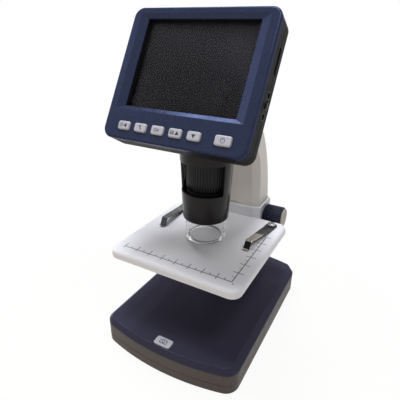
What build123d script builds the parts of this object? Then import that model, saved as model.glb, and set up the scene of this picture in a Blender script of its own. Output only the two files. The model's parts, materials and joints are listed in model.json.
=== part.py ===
from build123d import *
from math import cos, radians, sin, sqrt, tan
import os

# Digital microscope with a tilting display, in millimetres.
# +Z is up and -Y is the side the user sits at. The origin is the centre of the
# base's footprint, on the table.

# ---- driving dimensions: clearances -------------------------------------------
slip = 0.2              # between pieces that are put together by hand
running = 0.06          # radial clearance of a pin or shaft in its bore
thread_gap = 0.05       # between a screw's thread and the boss it bites into
skim = 0.1              # between flat faces that pass each other
seam = 0.3              # small chamfer along each parting line

# ---- base ---------------------------------------------------------------------
base_width = 104.0
base_length = 145.0
base_bow = 180.0        # radius of the bowed front and rear edges
base_corner = 10.0
base_wall = 2.2
base_floor = 2.0
base_bottom_round = 1.0
foot_height = 0.8       # how far the rubber feet hold the base off the table
foot_radius = 5.5
foot_bevel = 0.4
foot_inset_x = 11.0     # from the base's sides and ends to the feet's centres
foot_inset_y = 20.5
base_joint_z = 7.8      # parting line between the bottom cover and the frame
base_cover_z = 16.6     # lower edge of the coloured top cover
base_top_z = 21.6
base_bevel = 4.0        # height of the bevel, and its reach at the sides
base_end_bevel = 1.8    # its reach at the bowed ends
base_top_wall = 2.0
ballast_thickness = 3.0
ballast_margin_x = 16.0 # from the base's sides and ends
ballast_margin_y = 11.5
ballast_corner = 8.0
base_screw_inset_x = 11.0
base_screw_inset_y = 36.5
screw_boss_radius = 3.6
screw_radius = 1.5
screw_head_radius = 2.9
screw_head_height = 1.8

# ---- camera button in the base ------------------------------------------------
snap_width = 12.4
snap_depth = 7.0
snap_inset = 6.2        # from the base's front edge to the button's centre
snap_corner = 1.6
snap_proud = 1.0
snap_flange = 1.0       # how far the retaining flange reaches past the cap
snap_flange_thickness = 1.0
snap_switch_size = 6.0
snap_switch_height = 3.0
snap_post_radius = 1.5
button_gap = 0.15       # round each button in its hole
button_round = 0.5
switch_gap = 0.9        # from a button's underside to its switch at rest
plunger_height = 0.3
plunger_radius = 1.2
board_thickness = 1.6

# ---- column and arm -----------------------------------------------------------
column_width = 44.6
column_margin = 8.0     # from the base's rear edge to the column
column_depth = 29.1
throat = 45.4           # from the column's front to the optical axis
column_back_round = 6.0
facet_width = 5.8       # facets on the two front edges, across the column
facet_depth = 3.0       # and along it
arm_wall = 2.4
arm_side_wall = 3.8
front_bend_z = 92.8     # where the front starts to lean forwards
front_bend_radius = 84.0
front_bend_turn = 18.6
back_bend_z = 67.8
back_bend_radius = 137.0
back_bend_turn = 32.5
head_bottom_z = 142.8
head_top_z = 162.8
head_nose_radius = 19.5
head_flank = 18.0       # from the axis to where the head's sides start to narrow
head_slope_height = 10.0
head_slope_depth = 5.8
groove_width = 8.0      # guide groove down the front of the column
groove_depth = 0.8
groove_bottom_z = 23.8
groove_top_z = 126.8
core_width = 24.0       # steel post inside the column
core_depth = 8.0
core_inset = 6.1        # behind the column's front
core_top_z = 112.8
core_foot_width = 34.0
core_foot_depth = 21.0
core_foot_inset = 4.1
core_foot_thickness = 4.0
arm_boss_radius = 3.4
arm_screw_reach = 17.0  # how far each screw runs past the middle of the arm
low_screw_inset = 10.1  # behind the column's front
low_screw_rows = [30.8, 60.8]
high_screw_places = [(48.0, 128.8), (22.5, 151.8)]  # behind the axis, and up
bolt_radius = 2.0
bolt_head_radius = 3.8
bolt_head_height = 1.6
bolt_spacing_x = 24.0
bolt_spacing_y = 11.0

# ---- camera tube --------------------------------------------------------------
sleeve_bottom_z = 92.3
sleeve_bottom_radius = 16.0
sleeve_top_radius = 18.4
sleeve_wall = 1.6
sleeve_round = 1.2
sleeve_flange = 3.0
window_bottom_z = 112.8
window_top_z = 133.8
window_angle = 139.0    # each of the two windows, front and rear
slit_width = 0.9
slit_top_z = 110.8
ring_radius = 13.6      # over the ribs
ring_end_gap = 0.3      # above and below the focus ring
ring_rib_count = 44
ring_rib_radius = 0.45
inner_tube_radius = 11.6
inner_tube_bore = 9.56
shoulder_radius = 13.2
shoulder_top_z = 114.1
inner_tube_bottom_z = 99.4
inner_flange_radius = 16.0
inner_flange_thickness = 2.0
tube_screw_circle = 14.0
tube_screw_count = 3
tube_screw_radius = 1.0
tube_screw_head = 1.8
tube_screw_head_height = 1.2
barrel_bore = 7.2
barrel_bottom_z = 106.8
barrel_length = 18.0
lens_z = 108.4
lens_thickness = 2.4
lens_crown = 0.8
lens_seat = 1.0         # ledge that the lens rests on
sensor_board_radius = 11.5
sensor_size = 8.0
sensor_height = 1.4
led_count = 8
led_radius = 1.4
led_length = 2.4
led_circle = 10.2
led_board_radius = 13.9
led_board_hole = 7.0
cap_radius = 14.2
cap_wall = 2.0
cap_lip = 0.8           # inward lip round the cap's open end
cap_lip_height = 1.4
cap_round = 0.8

# ---- stage --------------------------------------------------------------------
stage_width = 96.0
stage_ahead = 50.0      # the plate's reach in front of the optical axis
stage_overlap = 0.4     # and past the column's front
stage_corner = 7.0
stage_thickness = 6.0
stage_top_z = 76.5
stage_edge_round = 2.5   # round the plate's upper edge
stage_under_round = 0.8
carriage_clearance = 0.3
carriage_wall = 2.2
carriage_bottom_z = 63.4
carriage_top_z = 84.8
tongue_width = 44.0     # flange under the plate that carries it
tongue_reach = 26.0
tongue_thickness = 4.0
stage_screw_x = 16.0
stage_screw_inset = 8.4 # from the column's front to the rear pair
stage_screw_pitch = 13.0
stage_screw_grip = 4.0  # length of thread in the plate

# ---- stage lock ---------------------------------------------------------------
lock_inset = 12.6       # behind the column's front
lock_z = 74.1
lock_travel = 0.8       # of the lock screw in one turn
lock_boss_radius = 6.0
lock_boss_length = 4.0
lock_bush_radius = 4.2
lock_spindle_radius = 2.5
lock_spindle_grip = 8.0 # length of spindle held in the knob
lock_pad_radius = 3.9
lock_pad_thickness = 1.6
knob_radius = 9.2       # over the ribs
knob_length = 15.2
knob_gap = 0.5          # from the knob to the carriage
knob_wall = 2.2
knob_cavity_depth = 5.2
knob_rib_count = 40
knob_rib_radius = 0.5
knob_cap_radius = 8.2
knob_cap_thickness = 0.8
knob_cap_round = 0.5

# ---- stage clips --------------------------------------------------------------
clip_inset_x = 10.5     # from the plate's sides and rear edge to the pivots
clip_inset_y = 8.8
clip_length = 42.0      # from the pivot to the tip
clip_bend = 38.5        # from the pivot to the bend
clip_rise = 5.6
clip_rear_width = 8.4
clip_bend_width = 4.6
clip_tip_width = 3.9
clip_flat = 4.8         # flat stretch in front of the pivot
clip_toe = 1.4          # upturned toe
clip_thickness = 0.5
clip_toe_in = 5.0       # degrees towards the optical axis
clip_pin_radius = 1.5
clip_pin_depth = 4.0
clip_head_radius = 2.9
clip_head_height = 2.0

# ---- display ------------------------------------------------------------------
display_lean = 30.0     # degrees back from upright
screen_ahead = 23.0     # from the optical axis to the screen's centre
screen_z = 193.85
screen_width = 70.2
screen_height = 53.0
rim_side = 5.3          # flat rim beside the sloped surround
rim_top = 3.9
rim_bottom = 17.4       # carries the row of buttons
display_corner = 6.0
rim_height = 1.6        # flat rim above the edge of the screen opening
rim_round = 1.5
slope_side = 5.0        # sloped surround, beside the screen
slope_end = 2.6         # and above and below it
bezel_lip = 0.6         # thickness of the surround at the opening's edge
bezel_depth = 2.8       # from the opening's edge to the bezel's back
frame_back = 8.4        # parting line between the frame and the rear cover
display_depth = 16.5
display_wall = 2.2
rear_floor = 2.0
rear_round = 3.0
gasket_width = 2.0
window_thickness = 1.2
lcd_border_x = 3.35     # the module reaches past the picture by this
lcd_border_y = 4.8
lcd_centre = -2.6       # the module's border is wider below the picture
lcd_thickness = 3.2
main_board_thickness = 1.4
main_board_inset = 4.8  # inside the case's side walls
main_board_past = 1.5   # past the picture's upper and lower edges
main_board_gap = 1.4    # from the frame's middle plate
standoff_x = 30.0
standoff_row = 24.0
standoff_radius = 2.5
battery_width = 52.0
battery_height = 36.0
battery_thickness = 3.0
key_space = 3.4         # between two buttons
key_height = 5.1
key_corner = 1.3
key_drop = 12.3         # from the screen opening to the row of buttons
key_first_inset = 15.0  # from the case's left edge to the first button
key_count = 5
power_width = 9.4
power_height = 5.6
power_inset = 13.4      # from the case's right edge to the power button
power_gap = 16.8        # from the last of the five buttons to the power button
key_proud = 1.2
key_round = 0.8
key_gap = 0.3           # round each key in its hole
key_flange = 0.7
key_flange_thickness = 0.8
key_switch = 4.4
key_switch_height = 1.2
keypad_margin = 5.2     # inside the case's walls
keypad_height = 8.4
keypad_post_radius = 1.2
socket_depth = 8.7      # of the side sockets' centre line, behind the opening's edge
jack_bore = 1.8
jack_radius = 2.1
jack_length = 6.2
jack_floor = 1.2
jack_rows = [-9.4, -20.9]
card_row = 8.9
card_slot_length = 11.6
card_slot_width = 1.2
card_notch_length = 14.4
card_notch_width = 3.0
card_notch_depth = 0.8
card_body_length = 14.0
card_body_width = 2.2
card_body_depth = 14.5
usb_row = -12.0
usb_length = 7.6
usb_width = 3.8
usb_wall = 0.4
usb_depth = 5.0
usb_tongue = 0.8
wheel_row = -15.2
wheel_radius = 3.2
wheel_proud = 0.9
wheel_thickness = 2.4
wheel_axle = 0.8
wheel_notches = 18
wheel_notch_radius = 0.25
pin_hole = 0.5
pin_hole_x = 3.1
pin_hole_spacing = 4.2
display_screw_inset_x = 4.2  # from the case's sides and ends
display_screw_inset_top = 6.0
display_screw_inset_bottom = 5.0
small_screw_radius = 1.1
small_head_radius = 1.9
small_head_height = 1.2
small_boss_radius = 2.4

# ---- display hinge ------------------------------------------------------------
hinge_ahead = 6.0       # from the optical axis to the hinge pin
hinge_z = 172.8
hinge_pin_radius = 2.0
hinge_pin_reach = 1.5   # how far the pin stands out of the clevis on the plain side
hinge_head_radius = 3.4
hinge_head_length = 1.4
hinge_lug_radius = 5.2
clevis_plate = 2.5
clevis_ahead = 6.5      # the plate's reach in front of the pin
clevis_behind = 10.0    # and behind it
clevis_corner = 4.0
clevis_lug = 4.0
clevis_screw_x = 7.0
clevis_screw_inset = 4.0
bracket_plate = 2.0
bracket_height = 24.0
bracket_corner = 2.0
bracket_lug = 4.0
bracket_inner = 6.5     # half the gap between the bracket's two lugs
bracket_screw_inset = 3.0
bracket_screw_x = 7.5
washer_thickness = 0.6
washer_radius = 4.4
hinge_side_gap = 0.2    # on each side of a washer

# ---- sizes that follow from others --------------------------------------------
foot_x = base_width / 2 - foot_inset_x
foot_y = base_length / 2 - foot_inset_y
ballast_width = base_width - 2 * ballast_margin_x
ballast_length = base_length - 2 * ballast_margin_y
base_screw_x = base_width / 2 - base_screw_inset_x
base_screw_y = base_length / 2 - base_screw_inset_y
snap_y = snap_inset - base_length / 2
column_back = base_length / 2 - column_margin
column_front = column_back - column_depth
axis_y = column_front - throat      # the optical axis stands at x = 0, y = axis_y
head_flank_y = axis_y + head_flank
core_front = column_front + core_inset
core_foot_front = column_front + core_foot_inset
low_screw_y = column_front + low_screw_inset
high_screws = [(axis_y + behind, z) for behind, z in high_screw_places]
stage_front = axis_y - stage_ahead
stage_rear = column_front + stage_overlap
stage_screw_rear = column_front - stage_screw_inset
stage_screw_front = stage_screw_rear - stage_screw_pitch
lock_y = column_front + lock_inset
clip_x = stage_width / 2 - clip_inset_x
clip_y = stage_rear - clip_inset_y
screen_y = axis_y - screen_ahead
display_width = screen_width + 2 * (slope_side + rim_side)
display_top = screen_height / 2 + slope_end + rim_top
display_bottom = screen_height / 2 + slope_end + rim_bottom
display_screw_x = display_width / 2 - display_screw_inset_x
display_screw_top = display_top - display_screw_inset_top
display_screw_bottom = display_screw_inset_bottom - display_bottom
lcd_width = screen_width + 2 * lcd_border_x
lcd_height = screen_height + 2 * lcd_border_y
main_board_width = display_width - 2 * (display_wall + main_board_inset)
main_board_height = screen_height + 2 * main_board_past
key_row = -screen_height / 2 - key_drop     # centre line of the row of buttons
key_first = key_first_inset - display_width / 2
power_x = display_width / 2 - power_inset
key_pitch = (power_x - power_gap - key_first) / (key_count - 1)
key_width = key_pitch - key_space
keypad_width = display_width - 2 * (display_wall + keypad_margin)
hinge_y = axis_y - hinge_ahead
clevis_front = hinge_y - clevis_ahead
clevis_rear = hinge_y + clevis_behind

os.makedirs("parts", exist_ok=True)


# ==== shared shapes ============================================================
def base_outline(side_inset, end_inset):
    """Footprint of the base: straight sides, bowed ends and round corners."""
    half_width = base_width / 2 - side_inset
    half_length = base_length / 2 - end_inset
    radius = base_bow - end_inset
    corner_y = half_length - radius + sqrt(radius**2 - half_width**2)
    with BuildSketch() as outline:
        with BuildLine():
            front = ThreePointArc((-half_width, -corner_y), (0, -half_length), (half_width, -corner_y))
            right = Line(front @ 1, (half_width, corner_y))
            rear = ThreePointArc(right @ 1, (0, half_length), (-half_width, corner_y))
            Line(rear @ 1, front @ 0)
        make_face()
        fillet(outline.vertices(), base_corner - side_inset)
    return outline.sketch


def column_outline(grow):
    """Section of the column with its two front facets, grown outwards."""
    half = column_width / 2 + grow
    front = column_front - grow
    back = column_back + grow
    with BuildSketch() as outline:
        with BuildLine():
            Polyline(
                (-half, back),
                (-half, front + facet_depth),
                (facet_width - half, front),
                (half - facet_width, front),
                (half, front + facet_depth),
                (half, back),
                close=True,
            )
        make_face()
        fillet(outline.vertices().group_by(Axis.Y)[-1], column_back_round + grow)
    return outline.sketch


def arm_side():
    """Side view of the column, the forward bend and the head: y across, z up."""
    with BuildSketch() as side:
        with BuildLine():
            front = Line((column_front, arm_foot_z), (column_front, front_bend_z))
            lean = JernArc(front @ 1, front % 1, front_bend_radius, front_bend_turn)
            under_rise = head_bottom_z - (lean @ 1).Y
            under_radius = under_rise / (1 - sin(radians(front_bend_turn)))
            under = JernArc(lean @ 1, lean % 1, under_radius, 90 - front_bend_turn)
            back = Line((column_back, arm_foot_z), (column_back, back_bend_z))
            hunch = JernArc(back @ 1, back % 1, back_bend_radius, back_bend_turn)
            over_rise = head_top_z - (hunch @ 1).Y
            over_radius = over_rise / (1 - sin(radians(back_bend_turn)))
            over = JernArc(hunch @ 1, hunch % 1, over_radius, 90 - back_bend_turn)
            nose_y = axis_y - head_nose_radius
            Polyline(
                over @ 1,
                (nose_y + head_slope_depth, head_top_z),
                (nose_y, head_top_z - head_slope_height),
                (nose_y, head_bottom_z),
                under @ 1,
            )
            Line(front @ 0, back @ 0)
        make_face()
    return side.sketch


def head_plan(inset):
    """Plan of the arm with the round nose of the head, open to the rear."""
    half = column_width / 2 - inset
    nose = head_nose_radius - inset
    far = column_back + column_width
    with BuildSketch() as plan:
        with BuildLine():
            tip = ThreePointArc((-nose, axis_y), (0, axis_y - nose), (nose, axis_y))
            Polyline(
                tip @ 1, (half, head_flank_y), (half, far), (-half, far), (-half, head_flank_y), tip @ 0
            )
        make_face()
    return plan.sketch


def arm_outside():
    """Outer form of the column, the arm and the head in one."""
    with BuildPart() as form:
        with BuildSketch(Plane.YZ):
            add(arm_profile)
        extrude(amount=column_width / 2, both=True)
        for end in (0, -1):
            wall = form.faces().filter_by(Axis.X).sort_by(Axis.X)[end]
            fillet(wall.edges().filter_by(Axis.Z).sort_by(Axis.Y)[-1], column_back_round)
        for end in (0, -1):
            wall = form.faces().filter_by(Axis.X).sort_by(Axis.X)[end]
            front = wall.edges().filter_by(Axis.Z).sort_by(SortBy.LENGTH)[-1]
            chamfer(front, facet_depth, facet_width, reference=wall)
        with BuildSketch(Plane.XY):
            add(head_plan(0))
        extrude(amount=2 * head_top_z, mode=Mode.INTERSECT)
        with BuildSketch(Plane.YZ):
            add(arm_profile)
            with Locations((groove_depth, 0)):
                add(arm_profile, mode=Mode.SUBTRACT)
            with Locations((column_front, (groove_bottom_z + groove_top_z) / 2)):
                Rectangle(column_width, groove_top_z - groove_bottom_z, mode=Mode.INTERSECT)
        extrude(amount=groove_width / 2, both=True, mode=Mode.SUBTRACT)
    return form.part


def arm_inside():
    """The hollow of the arm, open at the foot."""
    with BuildPart() as hollow:
        with BuildSketch(Plane.YZ):
            add(arm_profile)
            offset(amount=-arm_wall, kind=Kind.INTERSECTION)
        extrude(amount=column_width / 2 - arm_side_wall, both=True)
        with BuildSketch(Plane.XY):
            add(head_plan(arm_wall))
        extrude(amount=2 * head_top_z, mode=Mode.INTERSECT)
        with BuildSketch(Plane.XY.offset(arm_foot_z)):
            with Locations((0, (column_front + column_back) / 2)):
                Rectangle(
                    column_width - 2 * arm_side_wall, column_back - column_front - 2 * arm_wall
                )
        extrude(amount=2 * arm_wall)
    return hollow.part


def arm_body():
    """The hollow arm with its screw bosses, before it is parted down the middle."""
    with BuildPart() as arm:
        add(arm_outside())
        add(arm_inside(), mode=Mode.SUBTRACT)
        for side in (-1, 1):
            with BuildSketch(Plane.YZ.offset(side * core_width / 2)):
                with Locations(low_screws):
                    Circle(arm_boss_radius)
            extrude(amount=side * (column_width - core_width - arm_side_wall) / 2)
        with BuildSketch(Plane.YZ):
            with Locations(high_screws):
                Circle(arm_boss_radius)
        extrude(amount=(column_width - arm_side_wall) / 2, both=True)
        with Locations((0, axis_y, head_bottom_z)):
            Cylinder(
                sleeve_top_radius + slip,
                sleeve_top_radius,
                align=(Align.CENTER, Align.CENTER, Align.MAX),
                mode=Mode.SUBTRACT,
            )
        with BuildSketch(Plane.XY.offset(head_bottom_z)):
            with Locations((0, axis_y)):
                Circle(inner_tube_radius + carriage_clearance)
                with PolarLocations(tube_screw_circle, tube_screw_count, start_angle=90):
                    Circle(tube_screw_radius + slip)
        extrude(amount=arm_wall, mode=Mode.SUBTRACT)
        with BuildSketch(Plane.XY.offset(head_top_z)):
            with Locations(clevis_screws_at):
                Circle(small_screw_radius + thread_gap)
        extrude(amount=-arm_wall, mode=Mode.SUBTRACT)
    return arm.part


def tube_ring(outer, inner, bottom, height):
    """A plain ring round the optical axis."""
    with BuildPart() as ring:
        with BuildSketch(Plane.XY.offset(bottom)):
            with Locations((0, axis_y)):
                Circle(outer)
                Circle(inner, mode=Mode.SUBTRACT)
        extrude(amount=height)
    return ring.part


def case_outline(inset):
    """Outline of the display case in the display's own plane."""
    with BuildSketch() as outline:
        with Locations((0, (display_top - display_bottom) / 2)):
            RectangleRounded(
                display_width - 2 * inset,
                display_top + display_bottom - 2 * inset,
                display_corner - inset,
            )
    return outline.sketch


def wall_plane(row, side):
    """Plane on a side wall of the display, at the sockets' depth and looking out."""
    place = face.from_local_coords((side * display_width / 2, row, -socket_depth))
    return Plane(origin=place, x_dir=face.y_dir, z_dir=(side, 0, 0))


def display_key(width, height, place):
    """A button of the display: a round-edged cap on a wider flange."""
    with BuildPart() as key:
        with BuildSketch(face.offset(key_bottom)):
            with Locations((place, key_row)):
                RectangleRounded(width, height, key_corner)
        extrude(amount=rim_height + key_proud - key_bottom)
        fillet(key.faces().sort_by(face_normal)[-1].edges(), key_round)
        with BuildSketch(face.offset(key_bottom)):
            with Locations((place, key_row)):
                RectangleRounded(width + 2 * key_flange, height + 2 * key_flange, key_corner)
        extrude(amount=key_flange_thickness)
    return key.part


def stage_clip(side):
    """A spring clip: flat round its pivot, rising to a bend and then down to the tip."""
    lean = radians(clip_toe_in)
    ahead = Vector(-side * sin(lean), -cos(lean), 0)
    pivot = Vector(side * clip_x, clip_y, stage_top_z + skim)
    beside = Plane(origin=pivot, x_dir=ahead, z_dir=(ahead.Y, -ahead.X, 0))
    above = Plane(origin=pivot, x_dir=ahead, z_dir=(0, 0, 1))
    middle = clip_thickness / 2
    with BuildPart() as clip:
        with BuildSketch(beside):
            with BuildLine():
                FilletPolyline(
                    (-clip_rear_width / 2, middle),
                    (clip_flat, middle),
                    (clip_bend, clip_rise),
                    (clip_length, middle + skim),
                    (clip_length + clip_toe, middle + clip_toe),
                    radius=clip_thickness,
                )
            trace(line_width=clip_thickness)
        extrude(amount=clip_rear_width / 2, both=True)
        with BuildSketch(above):
            Circle(clip_rear_width / 2)
            with BuildLine():
                Polyline(
                    (0, clip_rear_width / 2),
                    (clip_bend, clip_bend_width / 2),
                    (clip_length + 2 * clip_toe, clip_tip_width / 2),
                    (clip_length + 2 * clip_toe, -clip_tip_width / 2),
                    (clip_bend, -clip_bend_width / 2),
                    (0, -clip_rear_width / 2),
                    close=True,
                )
            make_face()
        extrude(amount=2 * clip_rise, mode=Mode.INTERSECT)
        with BuildSketch(above):
            Circle(clip_pin_radius + running)
        extrude(amount=clip_rise, mode=Mode.SUBTRACT)
    return clip.part


# ==== places worked out from the dimensions ====================================
ballast_z = foot_height + base_floor
arm_foot_z = ballast_z + ballast_thickness
arm_profile = arm_side()
low_screws = [(low_screw_y, z) for z in low_screw_rows]
core_foot_y = core_foot_front + core_foot_depth / 2
clevis_middle = (clevis_front + clevis_rear) / 2
clevis_screw_y = (clevis_rear - clevis_front) / 2 - clevis_screw_inset
clevis_screws_at = [
    (x, clevis_middle + y)
    for x in (-clevis_screw_x, clevis_screw_x)
    for y in (-clevis_screw_y, clevis_screw_y)
]
face = Plane(
    origin=(0, screen_y, screen_z),
    x_dir=(1, 0, 0),
    z_dir=(0, -cos(radians(display_lean)), sin(radians(display_lean))),
)
face_normal = Axis(face.origin, face.z_dir)
gasket_front = -bezel_lip
window_front = -bezel_depth
lcd_front = window_front - window_thickness
middle_front = lcd_front - lcd_thickness
main_front = -frame_back - main_board_gap
key_bottom = -bezel_lip - skim - key_flange_thickness
keypad_front = key_bottom - switch_gap - plunger_height - key_switch_height
key_places = [key_first + key_pitch * n for n in range(key_count)]
hinge_place = face.to_local_coords(Vector(0, hinge_y, hinge_z))
hinge_row = hinge_place.Y
hinge_back = hinge_place.Z
wheel_x = display_width / 2 + wheel_proud - wheel_radius

# ==== base =====================================================================
with BuildPart() as base_bottom_cover:
    with BuildSketch(Plane.XY.offset(foot_height)):
        add(base_outline(0, 0))
    extrude(amount=base_joint_z - foot_height)
    fillet(base_bottom_cover.edges().group_by(Axis.Z)[0], base_bottom_round)
    chamfer(base_bottom_cover.edges().group_by(Axis.Z)[-1], seam)
    with BuildSketch(Plane.XY.offset(ballast_z)):
        add(base_outline(base_wall, base_wall))
    extrude(amount=base_joint_z, mode=Mode.SUBTRACT)
    with BuildSketch(Plane.XY.offset(foot_height)):
        with GridLocations(2 * base_screw_x, 2 * base_screw_y, 2, 2):
            Circle(screw_boss_radius)
    extrude(amount=base_joint_z - foot_height)
    snap_board_z = base_top_z - base_top_wall - seam - snap_flange_thickness - switch_gap
    snap_board_z = snap_board_z - plunger_height - snap_switch_height - board_thickness
    with BuildSketch(Plane.XY.offset(foot_height)):
        with Locations((0, snap_y)):
            with GridLocations(snap_width, 0, 2, 1):
                Circle(snap_post_radius)
    extrude(amount=snap_board_z - foot_height)
    with Locations((0, 0, foot_height)):
        with GridLocations(2 * base_screw_x, 2 * base_screw_y, 2, 2):
            Hole(screw_radius + slip)
    with BuildSketch(Plane.XY.offset(foot_height)):
        with GridLocations(2 * base_screw_x, 2 * base_screw_y, 2, 2):
            Circle(screw_head_radius + slip)
    extrude(amount=screw_head_height + slip, mode=Mode.SUBTRACT)
    with BuildSketch(Plane.XY.offset(foot_height)):
        with Locations((0, core_foot_y)):
            with GridLocations(bolt_spacing_x, bolt_spacing_y, 2, 2):
                Circle(bolt_head_radius + slip)
    extrude(amount=base_floor, mode=Mode.SUBTRACT)
base_bottom_cover.part.label = "base_bottom_cover"
export_step(base_bottom_cover.part, "parts/base_bottom_cover.step")

with BuildPart() as base_frame:
    with BuildSketch(Plane.XY.offset(base_joint_z)):
        add(base_outline(0, 0))
    extrude(amount=base_cover_z - base_joint_z)
    chamfer(base_frame.edges().group_by(Axis.Z)[0], seam)
    chamfer(base_frame.edges().group_by(Axis.Z)[-1], seam)
    with BuildSketch(Plane.XY.offset(base_joint_z)):
        add(base_outline(base_wall, base_wall))
    extrude(amount=base_cover_z - base_joint_z, mode=Mode.SUBTRACT)
base_frame.part.label = "base_frame"
export_step(base_frame.part, "parts/base_frame.step")

with BuildPart() as base_top_cover:
    with BuildSketch(Plane.XY.offset(base_cover_z)):
        add(base_outline(0, 0))
    extrude(amount=base_top_z - base_bevel - base_cover_z)
    with BuildSketch(Plane.XY.offset(base_top_z - base_bevel)):
        add(base_outline(0, 0))
    with BuildSketch(Plane.XY.offset(base_top_z)):
        add(base_outline(base_bevel, base_end_bevel))
    loft(ruled=True)
    with BuildSketch(Plane.XY.offset(base_cover_z)):
        add(base_outline(base_bevel, base_bevel))
    extrude(amount=base_top_z - base_top_wall - base_cover_z, mode=Mode.SUBTRACT)
    with BuildSketch(Plane.XY.offset(base_joint_z)):
        with GridLocations(2 * base_screw_x, 2 * base_screw_y, 2, 2):
            Circle(screw_boss_radius)
            Circle(screw_radius + thread_gap, mode=Mode.SUBTRACT)
    extrude(amount=base_top_z - base_top_wall - base_joint_z)
    with BuildSketch(Plane.XY.offset(base_cover_z)):
        add(column_outline(slip))
        with Locations((0, snap_y)):
            RectangleRounded(snap_width + 2 * button_gap, snap_depth + 2 * button_gap, snap_corner)
    extrude(amount=base_top_z - base_cover_z, mode=Mode.SUBTRACT)
base_top_cover.part.label = "base_top_cover"
export_step(base_top_cover.part, "parts/base_top_cover.step")

with BuildPart() as base_ballast_plate:
    with BuildSketch(Plane.XY.offset(ballast_z)):
        RectangleRounded(ballast_width, ballast_length, ballast_corner)
        with Locations((0, core_foot_y)):
            with GridLocations(bolt_spacing_x, bolt_spacing_y, 2, 2):
                Circle(bolt_radius + slip, mode=Mode.SUBTRACT)
    extrude(amount=ballast_thickness)
base_ballast_plate.part.label = "base_ballast_plate"
export_step(base_ballast_plate.part, "parts/base_ballast_plate.step")

with BuildPart() as rubber_feet:
    with GridLocations(2 * foot_x, 2 * foot_y, 2, 2):
        Cylinder(foot_radius, foot_height, align=(Align.CENTER, Align.CENTER, Align.MIN))
    chamfer(rubber_feet.edges().group_by(Axis.Z)[0], foot_bevel)
rubber_feet.part.label = "rubber_feet"
export_step(rubber_feet.part, "parts/rubber_feet.step")

with BuildPart() as base_screws:
    with BuildSketch(Plane.XY.offset(foot_height + slip)):
        with GridLocations(2 * base_screw_x, 2 * base_screw_y, 2, 2):
            Circle(screw_head_radius)
    extrude(amount=screw_head_height)
    with BuildSketch(Plane.XY.offset(foot_height + slip)):
        with GridLocations(2 * base_screw_x, 2 * base_screw_y, 2, 2):
            Circle(screw_radius)
    extrude(amount=base_cover_z - foot_height - slip)
base_screws.part.label = "base_screws"
export_step(base_screws.part, "parts/base_screws.step")

# ==== camera button in the base ================================================
snap_flange_top = base_top_z - base_top_wall - seam
with BuildPart() as snapshot_button:
    with BuildSketch(Plane.XY.offset(snap_flange_top - snap_flange_thickness)):
        with Locations((0, snap_y)):
            RectangleRounded(snap_width, snap_depth, snap_corner)
    extrude(amount=base_top_z + snap_proud - snap_flange_top + snap_flange_thickness)
    fillet(snapshot_button.edges().group_by(Axis.Z)[-1], button_round)
    with BuildSketch(Plane.XY.offset(snap_flange_top - snap_flange_thickness)):
        with Locations((0, snap_y + snap_flange)):
            Rectangle(snap_width + 2 * snap_flange, snap_depth - snap_corner)
    extrude(amount=snap_flange_thickness)
snapshot_button.part.label = "snapshot_button"
export_step(snapshot_button.part, "parts/snapshot_button.step")

with BuildPart() as snapshot_board:
    with BuildSketch(Plane.XY.offset(snap_board_z)):
        with Locations((0, snap_y)):
            Rectangle(snap_width + 4 * snap_post_radius, snap_depth)
    extrude(amount=board_thickness)
    with BuildSketch(Plane.XY.offset(snap_board_z + board_thickness)):
        with Locations((0, snap_y)):
            Rectangle(snap_switch_size, snap_switch_size)
    extrude(amount=snap_switch_height)
    with BuildSketch(Plane.XY.offset(snap_board_z + board_thickness + snap_switch_height)):
        with Locations((0, snap_y)):
            Circle(plunger_radius)
    extrude(amount=plunger_height)
snapshot_board.part.label = "snapshot_board"
export_step(snapshot_board.part, "parts/snapshot_board.step")

# ==== column, arm and head =====================================================
arm_hollow = arm_body()
screw_side = Plane.YZ.offset(-column_width / 2)
with BuildPart() as arm_left_shell:
    add(arm_hollow)
    split(bisect_by=Plane.YZ, keep=Keep.BOTTOM)
    with BuildSketch(screw_side):
        with Locations(low_screws + high_screws):
            Circle(screw_radius + slip)
    extrude(amount=column_width / 2, mode=Mode.SUBTRACT)
    with BuildSketch(screw_side):
        with Locations(low_screws + high_screws):
            Circle(screw_head_radius + slip)
    extrude(amount=screw_head_height + slip, mode=Mode.SUBTRACT)
arm_left_shell.part.label = "arm_left_shell"
export_step(arm_left_shell.part, "parts/arm_left_shell.step")

with BuildPart() as arm_right_shell:
    add(arm_hollow)
    split(bisect_by=Plane.YZ, keep=Keep.TOP)
    with BuildSketch(Plane.YZ):
        with Locations(low_screws + high_screws):
            Circle(screw_radius + thread_gap)
    extrude(amount=arm_screw_reach + slip, mode=Mode.SUBTRACT)
arm_right_shell.part.label = "arm_right_shell"
export_step(arm_right_shell.part, "parts/arm_right_shell.step")

with BuildPart() as arm_screws:
    with BuildSketch(screw_side.offset(slip)):
        with Locations(low_screws + high_screws):
            Circle(screw_head_radius)
    extrude(amount=screw_head_height)
    with BuildSketch(screw_side.offset(slip)):
        with Locations(low_screws + high_screws):
            Circle(screw_radius)
    extrude(amount=column_width / 2 - slip + arm_screw_reach)
arm_screws.part.label = "arm_screws"
export_step(arm_screws.part, "parts/arm_screws.step")

with BuildPart() as arm_core:
    with BuildSketch(Plane.XY.offset(arm_foot_z)):
        with Locations((0, core_foot_y)):
            Rectangle(core_foot_width, core_foot_depth)
            with GridLocations(bolt_spacing_x, bolt_spacing_y, 2, 2):
                Circle(bolt_radius + thread_gap, mode=Mode.SUBTRACT)
    extrude(amount=core_foot_thickness)
    with BuildSketch(Plane.XY.offset(arm_foot_z + core_foot_thickness)):
        with Locations((0, core_front + core_depth / 2)):
            Rectangle(core_width, core_depth)
    extrude(amount=core_top_z - arm_foot_z - core_foot_thickness)
    with BuildSketch(Plane.YZ):
        with Locations(low_screws):
            Circle(screw_radius + slip)
    extrude(amount=core_width / 2, both=True, mode=Mode.SUBTRACT)
arm_core.part.label = "arm_core"
export_step(arm_core.part, "parts/arm_core.step")

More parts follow.
